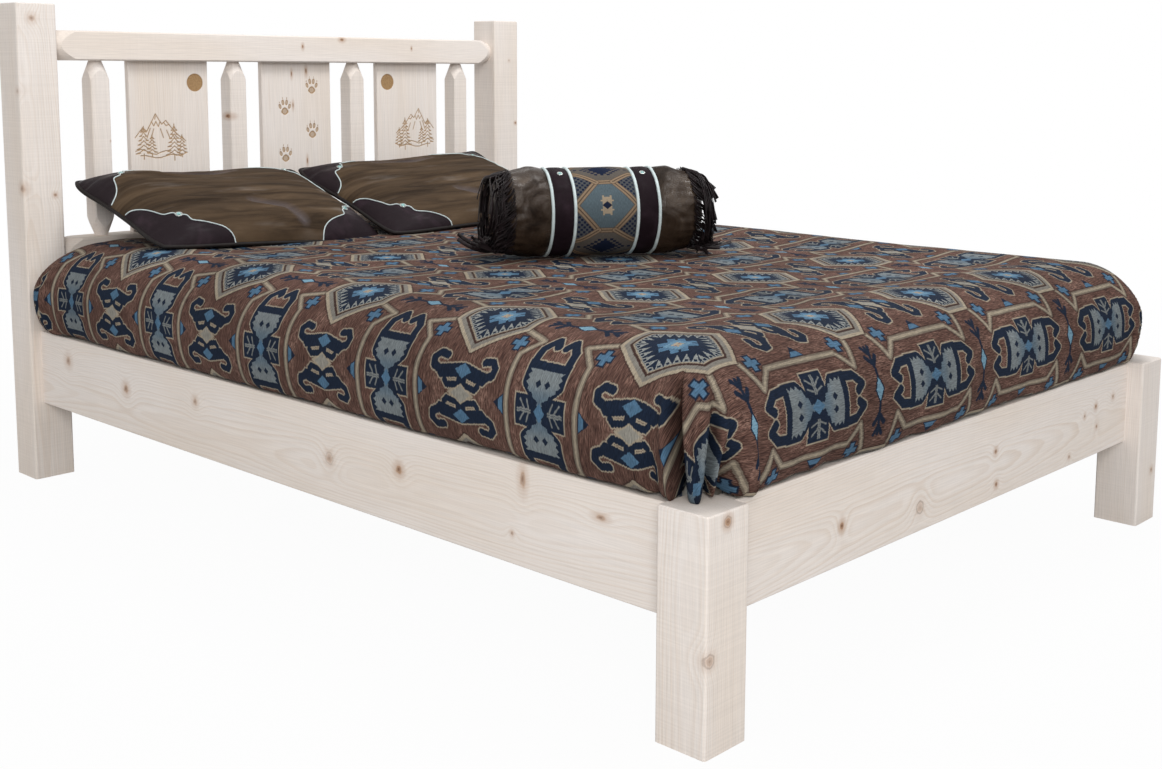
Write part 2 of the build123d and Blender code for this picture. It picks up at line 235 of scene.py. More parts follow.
def weld(piece, gap, outward=True):
    # closes the rims that meet
    piece.select_set(True)
    bpy.context.view_layer.objects.active = piece
    bpy.ops.object.mode_set(mode="EDIT")
    bpy.ops.mesh.select_all(action="SELECT")
    bpy.ops.mesh.remove_doubles(threshold=gap)
    if outward:
        bpy.ops.mesh.normals_make_consistent(inside=False)
    bpy.ops.object.mode_set(mode="OBJECT")


def writeUv(mesh, name, places):
    layer = mesh.uv_layers.active or mesh.uv_layers.new(name=name)
    layer.name = name
    for loop in mesh.loops:
        layer.data[loop.index].uv = places[loop.vertex_index]


def rayTree(piece):
    return BVHTree.FromPolygons([vertex.co.copy() for vertex in piece.data.vertices],
                                [tuple(polygon.vertices) for polygon in piece.data.polygons])


def meshOf(name, data, material):
    # a curve turned into a mesh
    curve = bpy.data.objects.new(name, data)
    bpy.context.scene.collection.objects.link(curve)
    bpy.ops.object.select_all(action="DESELECT")
    curve.select_set(True)
    bpy.context.view_layer.objects.active = curve
    bpy.ops.object.convert(target="MESH")
    piece = bpy.context.object
    piece.data.materials.append(material)
    piece.select_set(False)
    return piece


def seated(pieces, seat):
    # pieces are rows of (object, the node it stands for, slot)
    for piece, stands, slot in pieces:
        piece.data.transform(seat)
        piece.data.update()
        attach(piece, "root")
        if stands:
            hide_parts(stands)


# camera, floor and light

cameraSettings = {
    "place": (-2.45546, -2.44742, 1.04588),
    "heading": 0.8279,   # radians from +Y towards +X
    "dip": 0.12581,
    "roll": 0.00684,
    "lens": 44.651,
    "shift": (-0.0336, -0.1157),
}
lightSettings = {
    "sky": 0.58,
    "skyColour": (1.0, 1.0, 1.0),
    "keyPower": 155.0, "keyPlace": (-4.2, -4.35, 3.0), "keySize": 2.6,
    "topPower": 40.0, "topPlace": (0.4, -0.6, 3.1), "topSize": 1.2,
    "floor": (0.66, 0.66, 0.66), "whiteFrom": (1.2, 4.0), "whiteShare": 0.965,
}


def addCamera(settings):
    data = bpy.data.cameras.new("camera")
    camera = bpy.data.objects.new("camera", data)
    bpy.context.scene.collection.objects.link(camera)
    data.sensor_width = 36.0
    data.lens = settings["lens"]
    data.shift_x, data.shift_y = settings["shift"]
    turn = (Matrix.Rotation(-settings["heading"], 4, "Z")
            @ Matrix.Rotation(pi / 2 - settings["dip"], 4, "X")
            @ Matrix.Rotation(settings["roll"], 4, "Z"))
    camera.matrix_world = Matrix.Translation(settings["place"]) @ turn
    bpy.context.scene.camera = camera


def addFloor(settings):
    floor = newGrid("floor", 8, 8, 60.0)
    material = newMaterial("floorPaint")
    paint = surface(settings["floor"], 0.9, Specular_IOR_Level=0.1)
    # what the camera sees of the floor turns to plain white away from the bed, and keeps its shadow
    glow = newNode("ShaderNodeEmission", Color=(1.0, 1.0, 1.0))
    rays = newNode("ShaderNodeLightPath")
    white = span(length(objectPlace()), *settings["whiteFrom"], settings["whiteShare"], 1.0)
    white = white * rays.outputs["Is Camera Ray"]
    mix = newNode("ShaderNodeMixShader", white, paint.outputs[0], glow.outputs[0])
    put(mix.outputs[0], current["tree"].nodes["Material Output"].inputs["Surface"])
    floor.data.materials.append(material)


def addLight(name, power, place, size, target=(0.0, 0.0, 0.5)):
    data = bpy.data.lights.new(name, "AREA")
    data.shape = "DISK"
    data.size = size
    data.energy = power
    light = bpy.data.objects.new(name, data)
    bpy.context.scene.collection.objects.link(light)
    light.location = place
    light.rotation_euler = (Vector(target) - Vector(place)).to_track_quat("-Z", "Y").to_euler()


def addSky(settings):
    world = bpy.data.worlds.new("studio")
    bpy.context.scene.world = world
    world.use_nodes = True
    newTree(world.node_tree)
    rays = newNode("ShaderNodeLightPath")
    lit = newNode("ShaderNodeBackground", Color=settings["skyColour"], Strength=settings["sky"])
    seen = newNode("ShaderNodeBackground", Color=(1.0, 1.0, 1.0))
    direct = larger(*(rays.outputs["Is %s Ray" % kind] for kind in ("Camera", "Glossy", "Transmission")))
    mix = newNode("ShaderNodeMixShader", direct, lit.outputs[0], seen.outputs[0])
    newNode("ShaderNodeOutputWorld", Surface=mix.outputs[0])


addCamera(cameraSettings)
addFloor(lightSettings)
addSky(lightSettings)
addLight("key", lightSettings["keyPower"], lightSettings["keyPlace"], lightSettings["keySize"])
addLight("top", lightSettings["topPower"], lightSettings["topPlace"], lightSettings["topSize"],
         (0.0, 0.6, 0.8))
bpy.context.scene.view_settings.view_transform = "Standard"
print("camera, floor and light are in")

# pine

pineSettings = {
    "pale": (0.84, 0.775, 0.725),
    "warm": (0.81, 0.725, 0.650),
    "late": (0.63, 0.49, 0.37),
    "knotDark": (0.16, 0.075, 0.035),
    "knotRed": (0.43, 0.24, 0.13),
    "ringSpacing": 0.0042,
    "roughness": 0.62,
}


def pineGroup(settings):
    # vector with the grain along z and the pith on the z axis -> colour, height
    group, (place, flow, contrast, sawing) = newGroup(
        "pineGrain", (("Vector", "Vector"), ("Flow", "Float"), ("Contrast", "Float"), ("Sawing", "Float")),
        (("Colour", "Color"), ("Height", "Float")))
    drift = cloud(place, 1.0, detail=1.0, size=(5.0, 5.0, 1.1))
    ripple = cloud(place, 1.0, detail=2.0, size=(40.0, 40.0, 5.0))
    x, y, _ = split(place)
    reach = length(combine(x, y)) + drift * 0.05 + ripple * 0.0035 + flow
    turns = reach * (1.0 / settings["ringSpacing"])
    age = calc("FRACT", turns)
    late = span(age, 0.25, 0.86) * span(age, 0.86, 1.0, 1.0, 0.0)
    yearly = cloud(combine(calc("FLOOR", turns)), 3.7, detail=0.0)
    late = late * span(yearly, 0.3, 0.7, 0.25, 1.0)
    fibre = cloud(place, 1.0, detail=2.0, size=(520.0, 520.0, 9.0))
    patch = cloud(place, 1.0, detail=2.0, size=(7.0, 7.0, 2.0))
    tone = blendColour(span(patch, 0.35, 0.72), settings["pale"], settings["warm"])
    tone = blendColour(late * contrast, tone, settings["late"])
    streak = span(fibre, 0.3, 0.7, 0.93, 1.04, smooth=False)
    # the saw leaves faint ridges across the grain
    sawn = cloud(place, 1.0, detail=1.0, size=(3.0, 3.0, 260.0))
    sawn = (sawn - 0.5) * sawing
    streak = sawn * 0.16 + streak
    height = fibre * 0.35 + late * 0.35 + sawn * 1.6
    newNode("NodeGroupOutput", shaded(tone, streak), height)
    return group


def knotGroup(settings):
    # vector from the knot's middle in knot radii -> how far the grain is pushed, and the painted colour
    group, (place, colour, depth, ringed) = newGroup(
        "pineKnot", (("Vector", "Vector"), ("Colour", "Color"), ("Depth", "Float"), ("Ringed", "Float")),
        (("Colour", "Color"),))
    wobble = cloud(place, 1.3, detail=2.0)
    reach = (wobble - 0.5) * 0.5 + length(place)
    halo = span(reach, 0.9, 2.4, 0.45, 0.0)
    core = span(reach, 0.55, 1.05, 1.0, 0.0)
    rim = span(reach, 0.72, 0.95) * span(reach, 0.98, 1.2, 1.0, 0.0)
    rings = calc("SINE", reach * 14.0) * 0.18 + 0.82
    face = core * (rings * depth)
    tone = blendColour(halo * depth, colour, settings["knotRed"])
    tone = blendColour(face, tone, settings["knotRed"])
    inner = span(reach, 0.1, 0.7, 1.0, 0.0) * depth
    tone = blendColour(inner * (1.0 - ringed), tone, settings["knotDark"])
    tone = blendColour(rim * ringed, tone, settings["knotDark"])
    newNode("NodeGroupOutput", tone)
    return group


pineGrain = pineGroup(pineSettings)
pineKnot = knotGroup(pineSettings)


def pineColour(name, grain, pith=(0.05, 0.09), contrast=0.3, sawing=0.5, knots=()):
    # the pith lies beside the piece's middle, by the two numbers of pith
    low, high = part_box(name)
    middle = (low + high) / 2
    turned = {"x": (1, 2, 0), "y": (2, 0, 1), "z": (0, 1, 2)}[grain]
    place = objectPlace()
    parts = split(vectorCalc("SUBTRACT", place, tuple(middle)))
    across = vectorCalc("ADD", combine(*(parts[i] for i in turned)), (pith[0], pith[1], 0.0))
    # a small slope carries the rings out through the faces
    x, y, z = split(across)
    across = combine(z * 0.025 + x, y, z + middle.x * 7.3)
    pushed = 0.0
    places = []
    for knot in knots:
        radii = knot["radii"]
        offset = vectorCalc("SUBTRACT", place, knot["at"])
        local = vectorCalc("MULTIPLY", offset, tuple(1.0 / r for r in radii))
        places.append(local)
        near = calc("EXPONENT", vectorCalc("DOT_PRODUCT", local, local, out=1) * -0.11)
        pushed = near * (1.1 * min(radii)) + pushed
    colour, height = grouped(pineGrain, across, pushed, contrast, sawing)
    for knot, local in zip(knots, places):
        colour, = grouped(pineKnot, local, colour, knot["depth"], knot["ringed"])
    return colour, height


def sanded(colour, height):
    surface(colour, pineSettings["roughness"], height, bump=(0.25, 0.0006), Specular_IOR_Level=0.3)


def pine(name, grain, **grown):
    material = newMaterial(name + "Pine")
    sanded(*pineColour(name, grain, **grown))
    return material


def knot(x, y, z, size, depth=0.7, ringed=0.0, long=(1, 1, 1)):
    return {"at": (x, y, z), "radii": tuple(size * k for k in long), "depth": depth, "ringed": ringed}


timberKnots = {
    "head_post_left": [knot(-0.799, 1.041, 1.157, 0.010, 0.45), knot(-0.838, 1.048, 0.739, 0.012, 0.5),
                       knot(-0.757, 1.041, 0.719, 0.006, 0.6), knot(-0.838, 1.050, 0.979, 0.008, 0.25)],
    "head_post_right": [knot(0.827, 1.041, 0.863, 0.005, 0.8), knot(0.799, 1.041, 1.067, 0.005, 0.3)],
    "foot_post_left": [knot(-0.790, -1.143, 0.366, 0.009, 0.9, 0.35),
                       knot(-0.829, -1.143, 0.157, 0.011, 0.45, 0.35)],
    "foot_post_right": [knot(0.81, -1.143, 0.12, 0.008, 0.5)],
    "side_rail_left": [
        knot(-0.81, 0.901, 0.322, 0.014, 0.5), knot(-0.81, 0.623, 0.296, 0.013, 0.65),
        knot(-0.81, 0.323, 0.315, 0.010, 0.5), knot(-0.81, -0.165, 0.281, 0.012, 0.45, 0.2),
        knot(-0.81, -0.381, 0.301, 0.011, 0.8), knot(-0.81, -0.715, 0.350, 0.009, 0.6, 0.0, (1, 1, 2.2)),
        knot(-0.81, -0.688, 0.249, 0.005, 0.5), knot(-0.81, -0.898, 0.323, 0.006, 0.6, 0.0, (1, 2.4, 1))],
    "side_rail_right": [knot(0.81, 0.5, 0.30, 0.012, 0.6), knot(0.81, -0.1, 0.26, 0.010, 0.7),
                        knot(0.81, -0.62, 0.33, 0.013, 0.5)],
    "foot_rail": [
        knot(-0.424, -1.105, 0.265, 0.008, 0.9, 0.0, (1, 1, 1.2)),
        knot(-0.166, -1.105, 0.240, 0.012, 0.35, 0.4),
        knot(0.119, -1.105, 0.291, 0.007, 0.75), knot(0.126, -1.105, 0.222, 0.007, 0.8),
        knot(0.452, -1.105, 0.214, 0.006, 0.5), knot(0.521, -1.105, 0.292, 0.006, 0.5),
        knot(0.576, -1.105, 0.305, 0.007, 0.75), knot(0.584, -1.105, 0.258, 0.006, 0.6),
        knot(0.664, -1.105, 0.313, 0.007, 0.5)],
    "spindle_2": [knot(-0.229, 1.083, 0.905, 0.009, 0.95, 0.0, (1.6, 1.7, 0.8))],
    "spindle_1": [knot(-0.587, 1.0665, 0.848, 0.003, 0.8)],
    "head_top_rail": [knot(0.004, 1.0545, 1.100, 0.004, 0.8, 0.0, (1, 1, 1.8)),
                      knot(0.142, 1.0545, 1.122, 0.006, 0.8, 0.0, (1.5, 1, 1)),
                      knot(0.403, 1.0545, 1.100, 0.003, 0.8, 0.0, (1, 1, 1.8))],
    "head_panel_centre": [knot(-0.017, 1.0825, 1.022, 0.003, 0.8, 0.0, (1, 1, 3.5)),
                          knot(0.033, 1.0825, 1.030, 0.004, 0.8, 0.0, (1, 1, 3.0)),
                          knot(-0.014, 1.0825, 0.932, 0.003, 0.7, 0.0, (1, 1, 3.5)),
                          knot(0.032, 1.0825, 0.770, 0.003, 0.8, 0.0, (1, 1, 4.0))],
}

grainOf = {"head_top_rail": "x", "head_lower_rail": "x", "foot_rail": "x", "centre_beam": "y"}
for side in ("left", "right"):
    grainOf.update({"side_rail_" + side: "y", "cleat_" + side: "y",
                    "head_post_" + side: "z", "foot_post_" + side: "z"})
for label, count, grain in (("spindle_%d", 4, "z"), ("centre_leg_%d", 3, "z"), ("slat_%02d", 13, "x")):
    for number in range(count):
        grainOf[label % (number + 1)] = grain
grownAs = {
    "head_post_left": {"pith": (0.03, 0.10), "contrast": 0.30, "sawing": 0.8},
    "head_post_right": {"pith": (0.09, 0.05), "contrast": 0.16, "sawing": 1.0},
    "foot_post_left": {"pith": (0.12, 0.015), "contrast": 0.30, "sawing": 1.0},
    "foot_post_right": {"pith": (0.07, 0.06), "contrast": 0.22, "sawing": 0.6},
    "side_rail_left": {"pith": (0.02, 0.09), "contrast": 0.30, "sawing": 0.2},
    "side_rail_right": {"pith": (0.03, 0.08), "contrast": 0.30, "sawing": 0.2},
    "foot_rail": {"pith": (0.10, 0.03), "contrast": 0.36, "sawing": 0.3},
    "head_top_rail": {"pith": (0.09, 0.07), "contrast": 0.12, "sawing": 0.3},
    "spindle_1": {"pith": (0.06, 0.04), "contrast": 0.12, "sawing": 0.9},
    "spindle_2": {"pith": (-0.07, 0.05), "contrast": 0.18, "sawing": 1.0},
    "spindle_3": {"pith": (0.05, 0.08), "contrast": 0.15, "sawing": 1.2},
    "spindle_4": {"pith": (0.07, -0.04), "contrast": 0.12, "sawing": 1.2},
}
for name, grain in grainOf.items():
    grown = dict(grownAs.get(name, {"pith": (0.05 + 0.02 * sin(len(name) * 2.1), 0.07), "contrast": 0.25}))
    material = pine(name, grain, knots=timberKnots.get(name, ()), **grown)
    nodes[name].material_slots[0].material = material
print("the timber is finished")

# bedspread

spreadSettings = {
    "flatX": 0.700, "flatFoot": -0.998, "flatHead": 0.904,  # where the cloth starts to turn down
    "top": 0.600,
    "shoulder": (0.132, 0.120),   # how far it turns out and down to its widest line
    "tuck": (0.032, 0.0985),      # how far it comes back in and down to the hem
    "ringCell": 0.0072, "flatCell": 0.0175,
    "thick": 0.006,
    "raised": (0.009, 0.040, 0.085),  # a soft ridge inside the top's edge: height, how far inside, width
    "bulge": 0.022,               # how far the left side stands out past the head post
    "bulgeFrom": (0.86, 0.98),    # where along the bed that begins and is full
    "hem": 0.3835,
    "pleatGrow": 0.13,            # how far down the fall a pleat reaches its full depth
    "swell": (0.004, 0.0016),     # long and short waves on the top
    "sway": (0.007, 0.0045),      # the same in the hanging part
    "cornerArc": 0.13,            # length along a side that counts as one radian of the corner
    # corner (x side, y side), angle from the side at the top and at the hem, depth, width in degrees, start
    "pleats": (
        (-1, -1, 26.0, 31.0, 0.062, 3.8, 0.06), (-1, -1, 57.0, 50.0, 0.048, 3.4, 0.10),
        (-1, -1, 63.0, 66.0, 0.052, 9.0, 0.17), (-1, -1, 10.0, 7.0, 0.010, 5.0, 0.14),
        (-1, -1, 88.0, 93.0, 0.012, 5.0, 0.14), (1, -1, 24.0, 20.0, 0.024, 4.5, 0.10),
        (1, -1, 50.0, 46.0, 0.036, 4.5, 0.08), (1, -1, 72.0, 76.0, 0.020, 5.0, 0.12),
        (-1, 1, 30.0, 30.0, 0.020, 6.0, 0.10), (-1, 1, 58.0, 58.0, 0.014, 6.0, 0.10),
        (1, 1, 30.0, 30.0, 0.020, 6.0, 0.10), (1, 1, 58.0, 58.0, 0.014, 6.0, 0.10)),
    "creases": (  # start, end, height, width on the flat top
        ((-0.66, -0.20), (-0.30, -0.62), 0.0045, 0.030), ((-0.52, 0.25), (-0.10, -0.10), 0.0040, 0.028),
        ((0.05, -0.35), (0.62, -0.42), 0.0035, 0.035), ((-0.20, -0.95), (-0.12, -0.60), 0.0035, 0.030),
        ((0.30, -0.97), (0.42, -0.66), 0.0040, 0.030), ((0.22, 0.15), (0.60, -0.05), 0.0040, 0.035),
        ((-0.64, 0.55), (-0.66, 0.15), 0.0040, 0.030), ((0.55, 0.70), (0.66, 0.30), 0.0040, 0.030)),
}


def fallProfile(settings, steps=60):
    # points (out, z) from the top's edge down to the hem, and the length along them
    outward, down = settings["shoulder"]
    back, below = settings["tuck"]
    widest = settings["top"] - down
    points = []
    for i in range(steps + 1):
        turn = pi / 2 * i / steps
        points.append((outward * sin(turn), widest + down * cos(turn)))
    for i in range(1, steps + 1):
        turn = pi / 2 * i / steps
        points.append((outward - back * (1 - cos(turn)), widest - below * sin(turn)))
    lengths = [0.0]
    for (x0, z0), (x1, z1) in zip(points, points[1:]):
        lengths.append(lengths[-1] + hypot(x1 - x0, z1 - z0))
    return points, lengths


def along(points, lengths, s):
    for i in range(1, len(lengths)):
        if s <= lengths[i] or i == len(lengths) - 1:
            t = (s - lengths[i - 1]) / (lengths[i] - lengths[i - 1])
            (x0, z0), (x1, z1) = points[i - 1], points[i]
            return x0 + (x1 - x0) * t, z0 + (z1 - z0) * t


def ease(value, low, high):
    t = min(1.0, max(0.0, (value - low) / (high - low)))
    return t * t * (3 - 2 * t)


def wave(x, y, z=0.0):
    return noise.noise(Vector((x, y, z)))


def lineReach(x, z, points):
    # how far a place is from a bent line
    nearest = 1.0
    for (x0, z0), (x1, z1) in zip(points, points[1:]):
        wx, wz = x1 - x0, z1 - z0
        t = min(1.0, max(0.0, ((x - x0) * wx + (z - z0) * wz) / (wx * wx + wz * wz)))
        nearest = min(nearest, hypot(x - x0 - wx * t, z - z0 - wz * t))
    return nearest


def makeSpread(settings):
    points, lengths = fallProfile(settings)
    fall = lengths[-1]
    rings = round(fall / settings["ringCell"])
    wide = 2 * settings["flatX"]
    long = settings["flatHead"] - settings["flatFoot"]
    nx, ny = (round(length / settings["flatCell"]) for length in (wide, long))
    ridge, ridgeIn, ridgeWide = settings["raised"]
    slow, quick = settings["swell"]
    swayed, rippled = settings["sway"]
    cloth = newGrid("bedspreadCloth", nx + 2 * rings, ny + 2 * rings)
    mesh = cloth.data
    flatPlace = []
    for vertex in mesh.vertices:
        i = (vertex.co.x + 1) / 2 * (nx + 2 * rings) - rings
        j = (vertex.co.y + 1) / 2 * (ny + 2 * rings) - rings
        bx, by = min(max(i, 0.0), nx), min(max(j, 0.0), ny)
        ox, oy = i - bx, j - by
        ring = max(abs(ox), abs(oy)) / rings
        x = -settings["flatX"] + wide * bx / nx
        y = settings["flatFoot"] + long * by / ny
        s = ring * fall
        angle = None
        if abs(ox) > 1e-6 and abs(oy) > 1e-6:
            low, high = sorted((abs(ox), abs(oy)))
            angle = pi / 4 * low / high
            if abs(oy) > abs(ox):
                angle = pi / 2 - angle
        elif abs(ox) > 1e-6:
            angle = 0.0
        elif abs(oy) > 1e-6:
            angle = pi / 2
        swell = slow * wave(x * 2.3, y * 2.3, 4.0) + quick * wave(x * 7.0, y * 7.0, 1.0)
        if angle is None:
            flatPlace.append((x, y))
            z = settings["top"] + swell
            for start, end, height, width in settings["creases"]:
                line = Vector(end) - Vector(start)
                t = (Vector((x, y)) - Vector(start)).dot(line) / line.length_squared
                off = (Vector((x, y)) - Vector(start) - line * t).length
                if -0.2 < t < 1.2:
                    fade = ease(t, -0.2, 0.3) * (1 - ease(t, 0.7, 1.2))
                    z += height * fade * exp(-(off / width) ** 2)
            inner = min(settings["flatX"] - abs(x), y - settings["flatFoot"])
            z += ridge * exp(-((inner - ridgeIn) / ridgeWide) ** 2)
            vertex.co = (x, y, z)
            continue
        nxDir = cos(angle) * (1 if ox > 0 else -1 if ox < 0 else 0)
        nyDir = sin(angle) * (1 if oy > 0 else -1 if oy < 0 else 0)
        flatPlace.append((x + nxDir * s, y + nyDir * s))
        out, z = along(points, lengths, s)
        inner = settings["flatX"] - abs(x) if nxDir == 0 and oy > 0 else 0.0
        z += ridge * exp(-((inner - s - ridgeIn) / ridgeWide) ** 2)
        if oy > 0:
            # the head end's corners are squarer
            out /= (nxDir ** 4 + nyDir ** 4) ** 0.25
        edge = x * abs(nyDir) + y * abs(nxDir) + 0.4 * angle  # runs round the bed
        side = 3.0 * nxDir + 1.7 * nyDir
        hang = ease(s, 0.03, 0.20)
        out += hang * (swayed * wave(edge * 2.6, side, 0.0) + rippled * wave(edge * 7.5, side, s * 2.0))
        z += (1 - hang) * swell
        low = ease(s, 0.20, fall)
        z += low * 0.004 * (wave(edge * 4.0, side, 7.0) + 0.35)
        foot = abs(nyDir) if oy < 0 else 0.0
        out += low * (0.006 + 0.003 * foot) * wave(edge * 11.0, side, 3.0)
        out += low * (0.002 + 0.006 * foot) * wave(edge * 23.0, side, 5.0 + 4.0 * s)
        for sx, sy, upper, lower, depth, width, begin in settings["pleats"]:
            otherSide = sx * nxDir < -1e-6 or sy * nyDir < -1e-6
            if otherSide or (abs(ox) < 1e-6 and sx * x < 0) or (abs(oy) < 1e-6 and sy * y < 0):
                continue
            # past the corner the angle goes on by the distance along the side
            away = degrees(angle)
            if abs(oy) < 1e-6:
                end = settings["flatFoot"] if sy < 0 else settings["flatHead"]
                away = -degrees(abs(y - end) / settings["cornerArc"])
            if abs(ox) < 1e-6:
                away = 90 + degrees((settings["flatX"] - abs(x)) / settings["cornerArc"])
            off = (away - upper - (lower - upper) * ease(s, 0.10, fall)) / width
            grow = ease(s, begin, begin + settings["pleatGrow"])
            out -= grow * depth * (exp(-off * off) - 0.35 * exp(-((abs(off) - 1.9) / 0.9) ** 2))
            z += grow * depth * 0.20 * exp(-off * off)
        z = max(z, settings["hem"])
        past = 0.0
        if x < 0 and nxDir < 0:
            past = settings["bulge"] * hang * ease(y + nyDir * out, *settings["bulgeFrom"])
        vertex.co = (x + nxDir * out - past * abs(nxDir), y + nyDir * out, z)
    mesh.update()
    writeUv(mesh, "cloth", flatPlace)
    thicken = cloth.modifiers.new("thick", "SOLIDIFY")
    thicken.thickness = settings["thick"]
    thicken.offset = -1.0
    applied(cloth, "thick")
    smoothFaces(cloth)
    cloth.select_set(False)
    return cloth, fall


bedspread, fall = makeSpread(spreadSettings)

clothSettings = {
    "ground": (0.150, 0.080, 0.062), "groundDark": (0.045, 0.024, 0.020),
    "groundLight": (0.265, 0.160, 0.125),
    "navy": (0.010, 0.017, 0.034), "blue": (0.075, 0.150, 0.235), "sky": (0.170, 0.300, 0.390),
    "smoke": (0.105, 0.145, 0.180), "grey": (0.225, 0.235, 0.225), "beige": (0.330, 0.280, 0.210),
    "tan": (0.165, 0.135, 0.105),
    "columns": (-0.716, 0.366), "rows": (-0.978, 0.402),  # a medallion's middle, and the step to the next
    "line": 0.0025,                                       # outline round each figure
}
# half a figure each, as strokes in metres from its middle
bandRun = ((0.035, 0.094), (0.055, 0.150), (0.089, 0.117), (0.183, 0.117))
hooked = ((((0.0, 0.018), (0.0, 0.044)), 0.0120), (((0.0, 0.044), (0.050, 0.034)), 0.0125),
          (((0.050, 0.033), (0.074, 0.043), (0.077, 0.056), (0.066, 0.067), (0.048, 0.064)), 0.0075),
          (((0.0, 0.018), (0.034, 0.012), (0.041, 0.019)), 0.0060))
horns = ((((0.040, 0.085), (0.038, 0.112), (0.020, 0.134), (0.010, 0.120)), 0.0085),)
branches = ((((0.022, 0.002), (0.054, 0.002)), 0.0016), (((0.036, 0.002), (0.048, 0.018)), 0.0016),
            (((0.026, 0.004), (0.032, 0.019)), 0.0014))
leaves = ((((0.0, 0.022), (0.0, 0.080)), 0.0034), (((0.0, 0.044), (0.014, 0.060)), 0.0046),
          (((0.0, 0.064), (0.010, 0.080)), 0.0040))


def lineGroup():
    group, (place, start, way, share) = newGroup(
        "toLine", (("P", "Vector"), ("A", "Vector"), ("Way", "Vector"), ("Share", "Float")),
        (("Distance", "Float"),))
    offset = vectorCalc("SUBTRACT", place, start)
    t = calc("MULTIPLY", vectorCalc("DOT_PRODUCT", offset, way, out=1), share, clamp=True)
    rest = vectorCalc("SUBTRACT", offset, vectorCalc("SCALE", way, t))
    # eight-sided, so a stroke turns and ends in steps as woven ones do
    x, y, _ = split(vectorCalc("ABSOLUTE", rest))
    newNode("NodeGroupOutput", larger(x, y, (x + y) * 0.72))
    return group


toLine = lineGroup()


def strokes(place, points, thick):
    # how far a place lies outside a bent stroke, negative inside
    nearest = None
    for (x0, y0), (x1, y1) in zip(points, points[1:]):
        way = (x1 - x0, y1 - y0, 0.0)
        reach, = grouped(toLine, place, (x0, y0, 0.0), way, 1.0 / (way[0] ** 2 + way[1] ** 2))
        nearest = smaller(nearest, reach) if nearest else reach
    return nearest - thick


def figure(place, parts):
    # the same for several strokes, each with its own half width
    return smaller(*(strokes(place, points, thick) for points, thick in parts))


def inside(distance, edge=0.0, soft=0.0008):
    return span(distance, edge - soft, edge + soft, 1.0, 0.0, smooth=False)


def diamond(x, y, size, lean=1.0):
    return abs(x) * lean + abs(y) - size


def plus(x, y, arm, thick):
    a, b = abs(x), abs(y)
    return smaller(larger(a - arm, b - thick), larger(a - thick, b - arm))


def folded(value, pitch, start):
    # distance from the nearest repeat, never negative
    return pingpong(value - start, pitch / 2)


